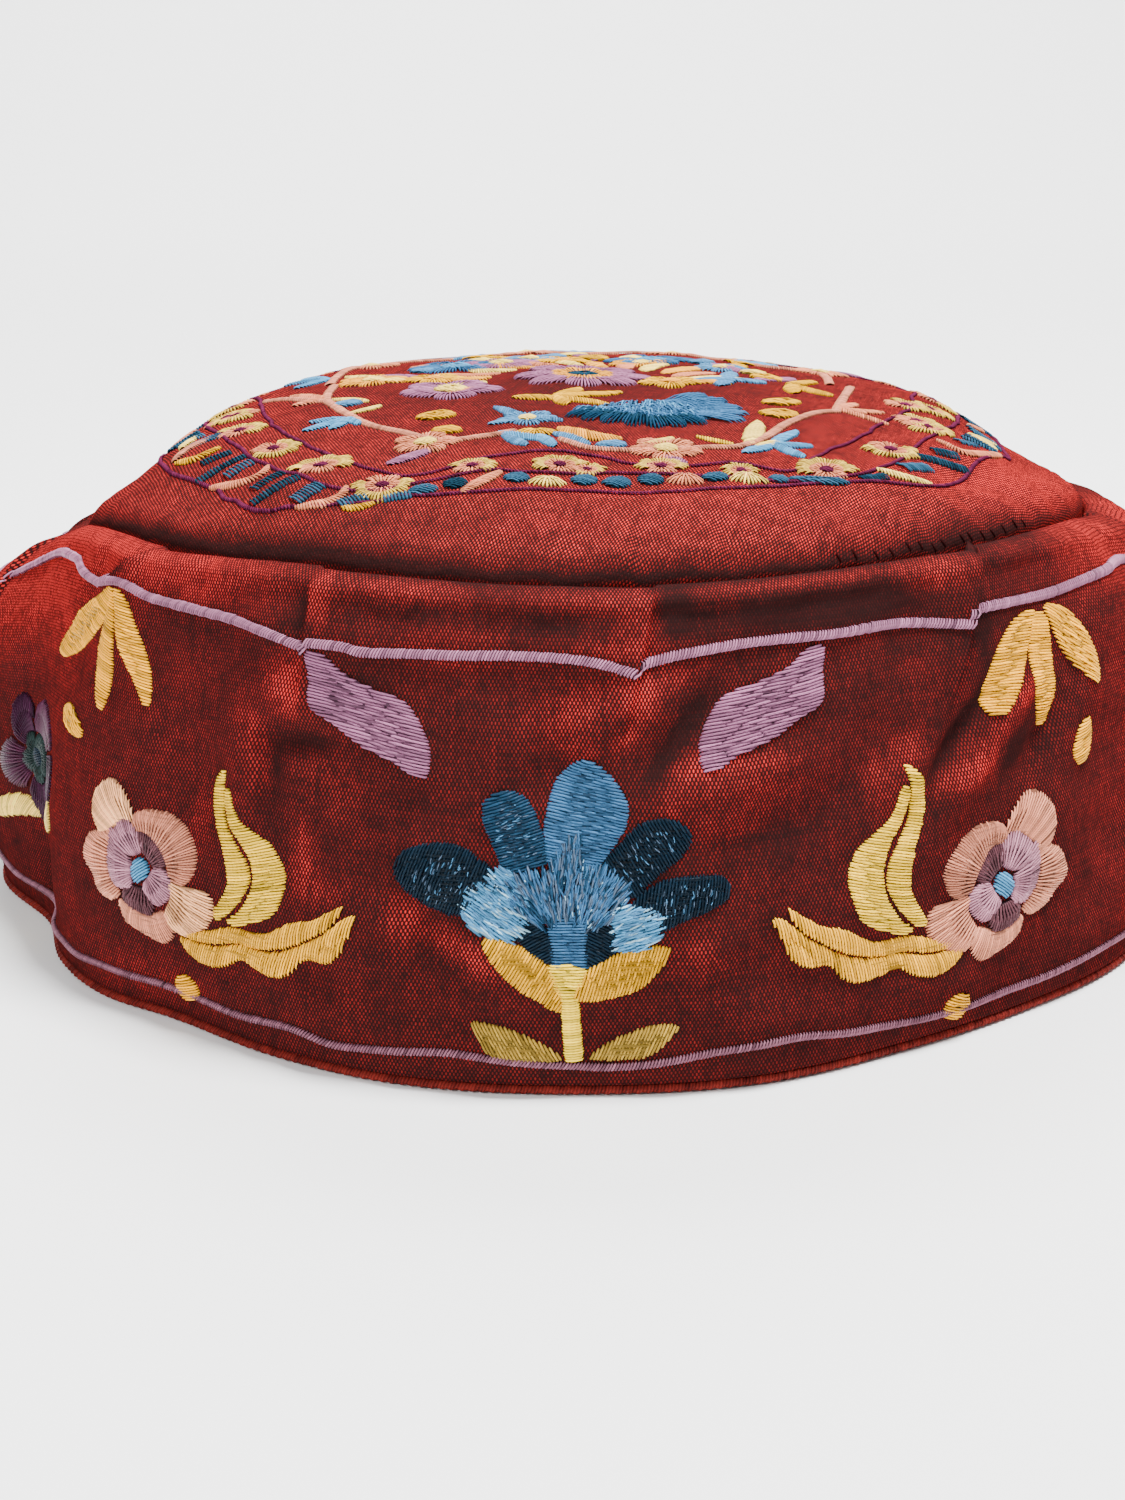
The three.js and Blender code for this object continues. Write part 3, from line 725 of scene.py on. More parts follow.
    def shell(self, x, y, inner, outer, start, end, colour, lobes=3, depth=0.16, pitch=0.6,
              rise=0.2):
        """Radial stitches with a scalloped outer edge, from one angle to another."""
        centre = np.array([x, y], float)
        start, end = math.radians(start), math.radians(end)
        count = max(3, int((end - start) * outer / pitch))
        for k in range(count):
            t = (k + 0.5) / count
            turn = start + (end - start) * t
            reach = outer * (1 - depth + depth * abs(math.sin(math.pi * t * lobes)) ** 0.7)
            reach += random.normal(0, FAN_RAGGED)
            along = np.array([math.sin(turn), -math.cos(turn)])
            near = inner + (0.3 * (outer - inner) if k % 2 and inner < 0.5 * outer else 0)
            ends = self.laid([centre + along * near, centre + along * reach])
            self.stitch(ends[0], ends[1], colour, rise=rise)

    def dot(self, x, y, wide, high, colour, lean=20, rise=0.3):
        turns = np.radians(np.arange(0, 360, 40))
        outline = np.stack([x + wide * np.cos(turns), y + high * np.sin(turns)], -1)
        self.satin(outline, lean, colour, rise=rise)

    def leaf(self, start, end, width, colour, bend=0.0, rise=0.24):
        """A pointed leaf from start to end, with stitches slanting across it."""
        start, end = np.array(start, float), np.array(end, float)
        along = end - start
        side = np.array([-along[1], along[0]]) / (np.hypot(*along) + 1e-9)
        t = np.linspace(0, 1, 7)[:, None]
        line = start + along * t + side * bend * 4 * t * (1 - t)
        self.ribbon(line, width, LEAF_LEAN, colour, taper=0.5, rise=rise)

    def sprig(self, fork, width, colour, *tips):
        for tip in tips:
            self.leaf(fork, tip, width, colour)


def make_threads(name, work, material):
    """Every stitch as a four-sided tube of its own."""
    rows = np.array(work.rows)
    start, end, width, rise, tint = rows[:, 0:2], rows[:, 2:4], rows[:, 4], rows[:, 5], rows[:, 6:9]
    t = THREAD_STATIONS
    count, steps = len(rows), len(t)
    flat = start[:, None] + (end - start)[:, None] * t[None, :, None]
    spot, normal = cloth_frame(work.place, flat[..., 0], flat[..., 1])
    length = np.linalg.norm(end - start, axis=1)
    crest = rise + np.minimum(ARCH_SHARE * length, ARCH_LIMIT)
    arch = np.where((t <= 0) | (t >= 1), 0, np.abs(np.sin(np.pi * t)) ** 0.5)
    height = crest[:, None] * arch[None] - SINK * (arch[None] == 0)
    line = spot + normal * height[..., None]
    ahead = np.gradient(line, axis=1)
    ahead /= np.linalg.norm(ahead, axis=-1, keepdims=True) + 1e-12
    side = np.cross(normal, ahead)
    side /= np.linalg.norm(side, axis=-1, keepdims=True) + 1e-12
    up = np.cross(ahead, side)
    slim = (np.where(arch == 0, END_WIDTH, 1.0)[None, :] * width[:, None])[..., None]
    wide, high = side * slim * 0.5, up * slim * THREAD_FLATNESS
    ring = np.stack([line - wide, line + high, line + wide, line - high], 2)
    vertices = ring.reshape(-1, 3) * MM
    base = (np.arange(count) * steps * 4)[:, None]
    faces = []
    for k in range(steps - 1):
        for a in range(4):
            b = (a + 1) % 4
            faces.append([4 * k + a, 4 * k + b, 4 * k + 4 + b, 4 * k + 4 + a])
    last = 4 * (steps - 1)
    faces += [[3, 2, 1, 0], [last, last + 1, last + 2, last + 3]]
    quads = (base[:, None] + np.array(faces)[None]).reshape(-1, 4)
    a, b, c = vertices[quads[:, 0]], vertices[quads[:, 1]], vertices[quads[:, 2]]
    if np.einsum("ij,ij->i", a, np.cross(b, c)).sum() < 0:
        quads = quads[:, ::-1]
    mesh = bpy.data.meshes.new(name)
    mesh.from_pydata(vertices.tolist(), [], quads.tolist())
    shade = mesh.color_attributes.new("thread_colour", "FLOAT_COLOR", "POINT")
    colours = np.ones((count, steps * 4, 4))
    colours[..., :3] = tint[:, None]
    shade.data.foreach_set("color", colours.ravel())
    around = np.tile(np.arange(4) / 4.0, steps)
    along = np.repeat(t[None] * length[:, None], 4, axis=1)
    pattern = np.stack([np.broadcast_to(around, along.shape), along], -1).reshape(-1, 2)
    corners = np.empty(len(mesh.loops), dtype=np.int32)
    mesh.loops.foreach_get("vertex_index", corners)
    mesh.uv_layers.new(name="thread").data.foreach_set("uv", pattern[corners].ravel())
    piece = bpy.data.objects.new(name, mesh)
    bpy.context.scene.collection.objects.link(piece)
    deselect()
    piece.select_set(True)
    bpy.context.view_layer.objects.active = piece
    bpy.ops.object.shade_smooth()
    return finish_piece(piece, material)


# ---- materials ----


def maths(operation, turned=False):
    """An operator of Value: it adds one Math node."""
    def operator(self, *others):
        values = [*others, self] if turned else [self, *others]
        node = self.finish.node("ShaderNodeMath", {"operation": operation}, dict(enumerate(values)))
        return Value(self.finish, node.outputs[0])
    return operator


class Value:
    """A shader value, on which sums can be written."""

    def __init__(self, finish, link):
        self.finish, self.link = finish, link

    __add__ = __radd__ = maths("ADD")
    __mul__ = __rmul__ = maths("MULTIPLY")
    __sub__ = maths("SUBTRACT")
    __rsub__ = maths("SUBTRACT", turned=True)
    __truediv__ = maths("DIVIDE")
    sine = maths("SINE")
    floor = maths("FLOOR")
    at_least = maths("MAXIMUM")
    at_most = maths("MINIMUM")

    def clipped(self):
        return self.at_least(0.0).at_most(1.0)

    def above(self, low, high):
        """0 below low, 1 above high, smooth between."""
        node = self.finish.node("ShaderNodeMapRange", {"interpolation_type": "SMOOTHSTEP"},
                                {"Value": self, "From Min": low, "From Max": high})
        return Value(self.finish, node.outputs[0])


class Finish:
    """One material while it is made."""

    def __init__(self, name):
        self.material = bpy.data.materials.new(name)
        self.material.use_nodes = True
        self.tree = self.material.node_tree
        self.tree.nodes.clear()

    def node(self, kind, settings=None, sockets=None):
        """Adds a node of that kind; settings come first, then the values or links of its sockets."""
        node = self.tree.nodes.new(kind)
        for name, value in (settings or {}).items():
            setattr(node, name, value)
        for name, value in (sockets or {}).items():
            socket = node.inputs[name]
            if isinstance(value, Value):
                self.tree.links.new(value.link, socket)
            else:
                socket.default_value = value
        return node

    def value(self, kind, output, settings=None, sockets=None):
        return Value(self, self.node(kind, settings, sockets).outputs[output])

    def flat(self):
        """The piece's own flat pattern, in millimetres: x and y."""
        pattern = self.value("ShaderNodeUVMap", "UV")
        parts = self.node("ShaderNodeSeparateXYZ", None, {"Vector": pattern})
        return Value(self, parts.outputs["X"]), Value(self, parts.outputs["Y"])

    def spot(self, x, y, z=0.0):
        return self.value("ShaderNodeCombineXYZ", "Vector", None, {"X": x, "Y": y, "Z": z})

    def noise(self, vector, scale, detail=2.0, roughness=0.5):
        return self.value("ShaderNodeTexNoise", "Fac", None,
                          {"Vector": vector, "Scale": scale, "Detail": detail, "Roughness": roughness})

    def grain(self, x, y=0.0):
        """One random number for each whole x and y."""
        return self.value("ShaderNodeTexWhiteNoise", "Value", {"noise_dimensions": "2D"},
                          {"Vector": self.spot(x, y)})

    def mix(self, share, first, second, blend="MIX"):
        node = self.node("ShaderNodeMix", {"data_type": "RGBA", "blend_type": blend},
                         {0: share, 6: first, 7: second})
        return Value(self, node.outputs[2])

    def bump(self, height, distance, strength=1.0, under=None):
        sockets = {"Height": height, "Distance": distance, "Strength": strength}
        if under is not None:
            sockets["Normal"] = under
        return self.value("ShaderNodeBump", "Normal", None, sockets)

    def shade(self, **sockets):
        names = {key.replace("_", " ").title().replace("Ior", "IOR"): sockets[key] for key in sockets}
        shader = self.node("ShaderNodeBsdfPrincipled", None, names)
        output = self.node("ShaderNodeOutputMaterial")
        self.tree.links.new(shader.outputs[0], output.inputs["Surface"])
        return self.material


def shot_silk():
    """Plain-woven silk: bright red warp over a dark weft; painted light sets how much red shows, so the
    warp paints highlights and the weft paints shade.
    """
    silk = Finish("shot_silk")
    x, y = silk.flat()
    place = silk.spot(x, y)
    wander = silk.noise(place, 0.16, 2.0) - 0.5
    drift = silk.noise(silk.spot(y, x), 0.13, 2.0) - 0.5
    warp = x + wander * 0.7
    weft = y + drift * 0.7
    cells = (warp * (math.pi / WARP_PITCH)).sine() * (weft * (math.pi / WEFT_PITCH)).sine()
    over = cells.above(0.0, 0.46)
    thread = silk.grain((warp / WARP_PITCH).floor(), (weft / 45).floor())
    pick = silk.grain((weft / WEFT_PITCH).floor(), (warp / 38).floor() + 50)
    cell = silk.grain((warp / WARP_PITCH).floor(), (weft / WEFT_PITCH).floor())
    slub = silk.noise(silk.spot(x * 1.7, y * 0.06), 1.0, 1.0).above(0.62, 0.80)
    mottle = silk.noise(place, 0.17, 4.0, 0.62) - 0.5
    cloud = silk.noise(place, 0.04, 2.0, 0.5) - 0.5
    # the painted highlights and shade of each point, broken up by noise, with a random tone and slubs
    # added
    painted_light_and_tone = silk.value("ShaderNodeAttribute", "Fac", {"attribute_name": "painted_light_share"})
    speck = silk.noise(silk.spot(x * 0.8, y * 0.5), 0.9, 3.0, 0.6) - 0.5
    painted_light_and_tone = painted_light_and_tone * (1 + mottle * 1.5 + speck * 1.8) + mottle * 0.09 + cloud * 0.05 + slub * 0.04
    painted_light_and_tone = painted_light_and_tone.at_least(0.012)
    # the red warp shows where it lies over and where painted light falls; elsewhere the dark weft paints
    # shade
    lift = over * painted_light_and_tone * (0.76 + thread * 0.80 + cell * 1.6) + painted_light_and_tone * 0.04 + (pick - 0.5) * 0.012
    base = silk.mix(lift.clipped(), (0.015, 0.0068, 0.0066, 1), (0.60, 0.025, 0.023, 1))
    rough = 0.62 - over * 0.10 + (thread - 0.5) * 0.10
    height = over + thread * 0.35 + slub * 0.6
    slow = silk.noise(place, 0.5, 2.0, 0.6)
    under = silk.bump(slow, 0.00040, 0.6)
    normal = silk.bump(height, 0.00007, 0.8, under)
    return silk.shade(base_color=base, roughness=rough, normal=normal,
                      sheen_weight=0.03, sheen_roughness=0.40, sheen_tint=(0.8, 0.05, 0.04, 1),
                      specular_ior_level=0.0)


def wound_edge():
    """Red thread wound over the rolled edge."""
    edge = Finish("wound_edge")
    x, y = edge.flat()
    strand = (x * 14.0 + y * 3.2).sine()
    tone = edge.noise(edge.spot(x, y * 0.4), 0.5, 2.0)
    # lighter along each wrap and darker between the wraps, as painted shade, with a random tone along the
    # roll
    share = (0.35 + strand * 0.18 + (tone - 0.5) * 1.1).clipped()
    base = edge.mix(share, (0.030, 0.0050, 0.0050, 1), (0.30, 0.030, 0.022, 1))
    normal = edge.bump(strand + tone, 0.00006, 0.8)
    return edge.shade(base_color=base, roughness=0.55, normal=normal, sheen_weight=0.06,
                      sheen_roughness=0.4, sheen_tint=(0.6, 0.08, 0.05, 1), specular_ior_level=0.03)


def satin_thread(name, gloss):
    """Twisted thread, painted darker down its sides and lighter along its top as painted shade; each
    stitch carries its own colour.
    """
    thread = Finish(name)
    x, y = thread.flat()
    own = thread.value("ShaderNodeAttribute", "Color", {"attribute_name": "thread_colour"})
    twist = (y * 9.0 + x * 12.566).sine()
    top = (x * 2 * math.pi).sine()
    place = thread.value("ShaderNodeTexCoord", "Object")
    # random patches of painted light and shade on the threads
    patchy_shade = thread.noise(place, 260.0, 3.0, 0.6)
    # painted shade: each stitch darker down its sides and lighter along its top, as if lit from above
    side_shade = thread.mix(1.0, own, (0.16, 0.12, 0.13, 1), "MULTIPLY")
    share = (0.36 + top * 0.80 + twist * 0.10 + (patchy_shade - 0.5) * 0.7).clipped()
    base = thread.mix(share, side_shade, own)
    normal = thread.bump(twist, 0.00004, 0.5)
    return thread.shade(base_color=base, roughness=0.34, normal=normal, specular_ior_level=gloss)


def pale_floor():
    floor = Finish("pale_floor")
    return floor.shade(base_color=(0.92, 0.92, 0.92, 1), roughness=0.8, specular_ior_level=0.2)


# ---- flowers of the side band ----

LOTUS = [
    ([(-23.4, 38.1), (-21.7, 35.4), (-17.8, 34.1), (-14.6, 34.3), (-11.7, 36.1), (-9.1, 38.9),
      (-12.2, 42), (-14.6, 43.8), (-18.4, 43.1), (-21.8, 40.9)], 70, "navy"),
    ([(-8.7, 26.5), (-6.2, 27.7), (-4.5, 30.8), (-3.2, 35.7), (-8.2, 37.2), (-10.2, 33.7),
      (-11.5, 30.5), (-11.3, 27.9)], 18, "slate blue"),
    ([(3.9, 37.1), (6.4, 33.5), (9, 30.9), (12.1, 30.2), (14.7, 31.5), (15.4, 33.5), (13.7, 35.6),
      (10.5, 38.3), (7.7, 40.9)], -60, "navy"),
    ([(7.7, 42.2), (11.1, 39), (15.3, 38.2), (19.2, 38.6), (20.4, 40), (20, 41.6), (17.4, 43),
      (13.9, 44.1), (11.1, 45.3)], 80, "navy"),
    ([(1.6, 22.4), (4.9, 24.5), (6.9, 27.9), (6.9, 30.5), (5.5, 33.5), (3, 37.1), (0.2, 38.5),
      (-3.2, 35.7), (-3.5, 31.7), (-3, 28.1), (-1.8, 24.9)], -12, "steel blue"),
    ([(-14.2, 42.1), (-12.2, 39.7), (-9.1, 36.9), (-7.3, 37.9), (-5.4, 41.8), (-7.1, 46.5),
      (-11.1, 46.4), (-13.6, 44.7)], -35, "light blue"),
    ([(5.5, 42.1), (10.1, 42.6), (11.4, 44.3), (9.2, 48), (5.8, 48.2), (5.2, 45.8)], 20, "light blue"),
    ([(-7.6, 44.5), (-6, 43.3), (-3.8, 44.5), (-2.2, 47.5), (-2.4, 49.8), (-4.4, 49.2), (-6.5, 47.2)],
      30, "navy"),
    ([(1.5, 45.1), (3.3, 44.5), (5.5, 45.2), (6.1, 47.2), (4.5, 49.2), (1.8, 50.2), (1.2, 47.8)], -30,
      "navy"),
    ([(-2.9, 44.1), (-0.7, 42.4), (1.8, 44.4), (1.8, 50.2), (-0.4, 49.8), (-2.4, 50.2)], 0,
      "steel blue"),
    ([(-11.1, 46.6), (-7.1, 47.5), (-3.4, 49.8), (-1.6, 52.5), (-1.3, 56.7), (-4, 55.3), (-7.4, 52.9),
      (-9.8, 49.9)], 62, "gold"),
    ([(12.6, 48.3), (8.2, 47.9), (4.2, 49.5), (1.8, 50.9), (0.3, 54.6), (1.5, 55.3), (5.2, 54.7),
      (9.5, 53.1)], 75, "gold"),
    ([(-3.1, 50.5), (-0.4, 50), (1.8, 50.9), (0.3, 54.6), (-1.3, 55)], 0, "pale gold"),
    ([(-12.7, 59.1), (-8.9, 59.3), (-4.6, 61.1), (-1.4, 63.7), (-4.7, 64.3), (-9.6, 63.9), (-12, 61)],
      -62, "dull olive"),
    ([(13.3, 59.4), (9.5, 59.6), (5.2, 61.5), (2.4, 63.7), (5.2, 64.1), (9.8, 63.5), (12.3, 61.4)], 68,
      "dull olive"),
]
LOTUS_FRINGE = [
    (-9.1, 39.9), (-7.3, 37.9), (-3.2, 37.1), (-1.7, 33.7), (0.8, 32.6), (1.7, 36.4), (5.2, 37.8),
    (7, 40.8), (5.8, 43.2), (2.7, 45.1), (-0.7, 43.1), (-3.5, 44.5), (-5.9, 43.8),
]

ROSETTE_PETALS = [
    [(-7.2, -12), (-4.6, -11.5), (-2.4, -8.8), (-2.1, -6.7), (-4.2, -6.2), (-7.9, -3.8), (-10.1, -6.1),
      (-9.7, -9.7)],
    [(-1.5, -6.8), (-0.4, -8.2), (2.6, -8.9), (6.3, -8.2), (9.3, -6.1), (10.6, -3.9), (9.6, -0.7),
      (7.9, 0.6), (5.4, 0), (4.2, -1.6), (1.3, -4.8), (-1.4, -5.2)],
    [(-11.4, -2.3), (-8.4, -3.7), (-6.5, -3.9), (-6.5, 0), (-5.3, 2.9), (-3.7, 4.4), (-5.6, 5.8),
      (-8.8, 5.1), (-10.4, 3.6), (-13.2, 1.5)],
    [(-3.2, 6.2), (-2.1, 8.6), (0.9, 9.8), (4.7, 10.5), (6.4, 8.2), (4.8, 5.7), (1.3, 6.8),
      (-2.5, 5.7)],
    [(5.5, 1.2), (9.6, 1.2), (13, 1.3), (14.1, 2.9), (13.5, 5.5), (9.8, 8), (7.3, 8), (5.2, 6.3),
      (6.3, 2.9)],
]
ROSETTE_INNER = [
    ([(-3.75, -6.6), (-2.1, -6.3), (-0.75, -4.4), (-0.6, -2.6), (-2.25, -1.6), (-4.5, -2.4),
      (-5.6, -4.4)], "flower lilac"),
    ([(-0.6, -5.1), (1.5, -5), (3.4, -3.6), (4.3, -1.8), (2.6, -0.4), (0.75, -1.6), (-0.6, -2.9)],
      "mauve"),
    ([(-6.2, -4.2), (-6.4, -1.1), (-5.8, 1.6), (-4.1, 3.2), (-1.9, 3), (-1.9, 1.5), (-2.25, -0.3),
      (-3.75, -2.2)], "flower lilac"),
    ([(2.6, -0.05), (4.9, 0.1), (6.2, 1.4), (6, 3), (3.75, 4.7), (1.9, 3.8), (1.1, 2.1)],
      "flower lilac"),
    ([(-1.9, 3.35), (1.1, 3.4), (2.6, 4.6), (2.25, 6.6), (0, 6.6), (-2.25, 5.6)], "mauve"),
]
ROSETTE_LEAVES = [
    ([(15.4, -17.3), (12.6, -15.2), (12.4, -12.1), (14.2, -8.9), (16.4, -5.8), (17.4, -1.5),
      (14.3, 3.4), (15.6, 4.3), (19.4, 1), (21.6, -2.4), (21, -5.2), (18.6, -7.7), (15.7, -10.7),
      (15.1, -14.4)], 14, "olive"),
    ([(16.3, -14.8), (18.4, -11.4), (21.7, -9.7), (25.1, -8), (27.2, -5), (27.3, -2.4), (25.3, 1.8),
      (18.4, 4.7), (16.4, 4.3), (19.1, 2.3), (21.6, -1.3), (21.8, -4.8), (19.7, -7.9), (16.9, -10.3),
      (15.3, -13.9)], 16, "olive"),
    ([(36.3, -2.5), (33.7, -0.7), (31.5, 0.8), (28, 2.1), (24.3, 4.7), (21.1, 5.4), (17.2, 5.6),
      (13.2, 7.1), (9.4, 8.2), (10.2, 8.8), (14.8, 8.5), (18.9, 7.5), (22.6, 7.3), (27.1, 6.1),
      (30.7, 3.9), (34.7, 0.7)], 78, "straw"),
    ([(38.5, -1.4), (37.3, -1.5), (35.3, 0.3), (33.2, 2.5), (29.1, 5.4), (25.8, 7), (22.3, 7.7),
      (19.6, 7.6), (14.8, 9), (10.6, 9.3), (8.1, 9.4), (9.7, 11.2), (13, 12.2), (16.4, 11.7),
      (19.6, 9.7), (22.3, 10.3), (25.8, 10.8), (28.5, 9.4), (30.4, 7), (33.6, 6.7), (36, 4.8),
      (37.4, 1.6)], 76, "straw"),
]
LILAC_LEAF = [
    (0, 0), (2.6, 0), (5.9, 2.1), (11, 3.9), (14.7, 4.9), (17.2, 7.5), (18.9, 10.8), (18.7, 14.2),
    (16.9, 14.2), (13.8, 12.6), (9, 11.2), (4.1, 8.7), (1.2, 7), (0.6, 3.1),
]

# The upper cord, one line for each panel between two pleats.
UPPER_CORD = [
    [(-98.3, 5), (-92.2, 6.8), (-86.8, 7.6)],
    [(-86.4, 6.7), (-79.2, 5.3), (-71.5, 6.9), (-60.1, 7.7), (-48.8, 9), (-43, 10.2), (-40.4, 10.6)],
    [(-40.3, 9.6), (-35, 9.5), (-31.1, 9.9), (-20.7, 9.4), (-10.8, 9), (-1.1, 9.2), (6.6, 10.9)],
    [(7, 10), (13.6, 8.8), (23.8, 8.1), (34.9, 8.1), (46.4, 8.2), (59.2, 9.6)],
    [(59.1, 8.3), (64.3, 8), (73.6, 8.4), (81.6, 8.2), (91.7, 7), (102.3, 6.2), (113.6, 8.4)],
    [(114, 7.6), (126, 7), (140, 7.6), (152, 8.2), (163.4, 9.4)],
    [(163.8, 8.4), (176, 7.6), (188, 7.8), (200, 8.4), (211.6, 9.4)],
    [(212, 8.4), (224, 7.6), (238, 8), (250, 8.4), (261.4, 9.6)],
    [(261.8, 8.6), (274, 7.8), (288, 8), (300, 8.6), (311.2, 9.6)],
    [(311.5, 8.6), (324, 7.8), (336, 8), (348, 8.6), (358, 9.4)],
    [(-219.8, 8.6), (-208, 7.6), (-196, 7.8), (-184, 8.4), (-173.8, 9.4)],
    [(-173.4, 8.4), (-160, 7.2), (-148, 7.4), (-136, 8), (-125.8, 9.2)],
    [(-125.4, 7.6), (-116, 5.6), (-107, 4.6), (-98.6, 5)],
]
LOWER_CORD = [
    (-39, 63.9), (-32, 64.9), (-17, 63.7), (-3.2, 64.8), (4.1, 65.2), (16.4, 63.6), (26.8, 63),
    (38.9, 64.3), (61, 65.1), (84, 64.3),
]

# The pale side petals and the dark outer ones, which get loose stitches on top; on the dark ones the pale
# stitches are painted glints.
LOTUS_WINGS, LOTUS_TIPS = LOTUS[5:7], LOTUS[:4]

# Where each flower stands round the band: u, w, mirrored.
LOTUS_MIDDLE = -2.0
LOTUS_SPACING = 223.2
LOTUS_PLACES = [
    (LOTUS_MIDDLE, 0, False), (LOTUS_MIDDLE + LOTUS_SPACING, 0, True),
    (LOTUS_MIDDLE - LOTUS_SPACING, 0, False),
]
ROSETTE_PLACES = [
    (-68.7, 46.4, False), (63, 47.7, True), (-157, 46.8, True), (153, 47, False), (287, 46.6, False),
]
LEAF_PLACES = [
    (-40.2, 11, False), (34, 9.7, True), (183.4, 10.6, False), (257.6, 10.2, True),
    (-263.4, 10.6, False), (-189, 10.4, True),
]
LEFT_TREFOIL = [
    ([(-0.6, 0.2), (-3.4, 1.6), (-8.6, 4.4), (-14.6, 8.2), (-18.8, 12.4), (-17.8, 14), (-13, 12.6),
      (-7, 9.2), (-2.4, 5.4), (-0.4, 2.4)], -24),
    ([(-0.6, 1.2), (-2, 6.4), (-2.8, 11.4), (-1.6, 16.6), (0.2, 18.4), (1.2, 13.6), (1.4, 8.6),
      (0.6, 3.4)], -14),
    ([(0.2, 0.4), (1.6, 5), (4.2, 10), (8.2, 14.4), (10.6, 15.8), (9.8, 11.4), (6.6, 6), (3, 1.6)], -6),
    ([(-12.6, 20.8), (-9.4, 20), (-6.4, 21), (-4.6, 22.8), (-5.6, 24), (-9.4, 23.6), (-11.8, 22.4)],
      -30),
]
RIGHT_TREFOIL = [
    ([(-1.2, 0.2), (-6.2, 1), (-10.4, 3.8), (-13.6, 8.8), (-14, 12.2), (-11.2, 13.4), (-7.2, 10),
      (-3.8, 5.4), (-1.8, 2.2)], -4),
    ([(-1.6, 1.2), (-3.6, 6.6), (-3.8, 11.8), (-2.6, 16), (-1, 16.6), (1, 13), (1.4, 7.4), (1.2, 1.4)],
      -6),
    ([(1.6, 0.2), (2.4, 3.6), (4.6, 7.6), (8.4, 11.4), (10.2, 12), (10.6, 8.4), (8.4, 3.4), (4.8, 0.4)],
      -34),
    ([(4.2, 19.6), (3.6, 22), (5.2, 23.8), (7.6, 22.4), (8.4, 19.4), (7.6, 17.2), (5.6, 17.8)], 10),
]
TREFOIL_PLACES = [
    (-80, 6.2, False, LEFT_TREFOIL), (75.3, 9.9, False, RIGHT_TREFOIL),
    (145.2, 9, False, RIGHT_TREFOIL), (-148, 8.8, True, RIGHT_TREFOIL),
    (288, 8.8, False, RIGHT_TREFOIL),
]
PURPLE_PLACES = [(-109, 39.5, False), (111, 41, True)]


def swelled(outline, share, shift=0.0):
    """An outline scaled about its middle, which may first be moved down."""
    middle = np.mean(outline, axis=0) + [0, shift]
    return middle + (np.array(outline) - middle) * share


def sew_lotus_petals(work):
    for x, y, mirror in LOTUS_PLACES:
        work.at(x, y, mirror)
        for outline, lean, shade in LOTUS:
            work.satin(outline, lean, shade, longest=3.0)
        stem = [(-0.3, 55), (-0.1, 58), (0.1, 61), (0.3, 64)]
        work.ribbon(stem, 2.5, 90, "pale gold", pitch=0.38, rise=0.3)


def sew_lotus_fringe(work):
    for x, y, mirror in LOTUS_PLACES:
        work.at(x, y, mirror)
        for outline, lean, shade in LOTUS_WINGS:
            work.meadow(outline, lean, ["light blue", "light blue", "pale blue", "blossom blue"], 2.4, 3.2,
                        spread=8, width=0.32)
        root = (-0.6, 49.5)
        work.meadow(LOTUS_FRINGE, root, ["grey blue", "steel blue", "slate blue", "steel blue"], 2.7, 5.2,
                    rise=0.36, spread=8, width=0.28)
        # fine pale stitches over the fringe: painted glints
        work.meadow(LOTUS_FRINGE, root, ["pale blue", "light blue", "blossom blue"], 1.1, 0.8,
                    rise=0.46, width=0.18)
        # pale stitches over the dark petals: painted glints
        for outline, lean, shade in LOTUS_TIPS:
            work.meadow(swelled(outline, 0.72, 0.8), lean, ["grey blue", "blossom blue"], 1.1, 1.3,
                        rise=0.37, spread=8, width=0.15)


def sew_rosettes(work):
    for x, y, mirror in ROSETTE_PLACES:
        work.at(x, y, mirror)
        for k, outline in enumerate(ROSETTE_PETALS):
            shade = "peach" if k == 1 else "mid peach" if mirror or k not in (0, 4) else "pale peach"
            work.fan(swelled(outline, 1.07), (0, 0), shade)
        for outline, shade in ROSETTE_INNER:
            work.fan(swelled(outline, 1.16), (0, 0.4), shade, rise=0.35)
        work.dot(-0.3, 0.6, 1.5, 1.8, "light blue", lean=40, rise=0.5)
        for outline, lean, shade in ROSETTE_LEAVES:
            outline = swelled(outline, [0.90, 1.0] if shade == "olive" else [1.0, 0.90])
            if mirror:
                high = np.maximum(0, -outline[:, 1])
                outline = outline + np.stack([0.12 * high, -0.12 * high], -1) - [0, 1.2]
            work.satin(outline, lean, shade)
        work.dot(8.9, 16.8, 2.3, 2.1, "bright gold")


def sew_leaves(work):
    for x, y, mirror in LEAF_PLACES:
        work.at(x, y, mirror).satin(LILAC_LEAF, -8, "lilac", longest=5.4)
    for x, y, mirror, leaves in TREFOIL_PLACES:
        work.at(x, y, mirror)
        for outline, lean in leaves:
            work.satin(outline, lean, "bright gold")


def sew_purple(work):
    for x, y, mirror in PURPLE_PLACES:
        work.at(x, y, mirror)
        for k in range(5):
            middle = 72 * k + 180
            work.shell(0, 0, 4.4, 12.4, middle - 33, middle + 33, "plum" if k % 2 else "purple", lobes=1,
                       depth=0.34, pitch=0.5)
        work.shell(0, 0, 1.0, 4.9, 0, 360, "fir green", lobes=5, depth=0.25, rise=0.35, pitch=0.5)
        work.dot(0, 0, 1.7, 1.7, "navy", rise=0.5)
        work.leaf((0, 9.5), (14, 8.5), 6.5, "yellow", bend=-2.0)
        work.ribbon([(1, 10), (2.4, 14), (4.4, 20)], 2.2, 70, "yellow")
        work.leaf((-2, 11), (-14, 13), 5.5, "yellow", bend=1.5)
        work.dot(7.0, 21.4, 2.9, 2.4, "yellow")


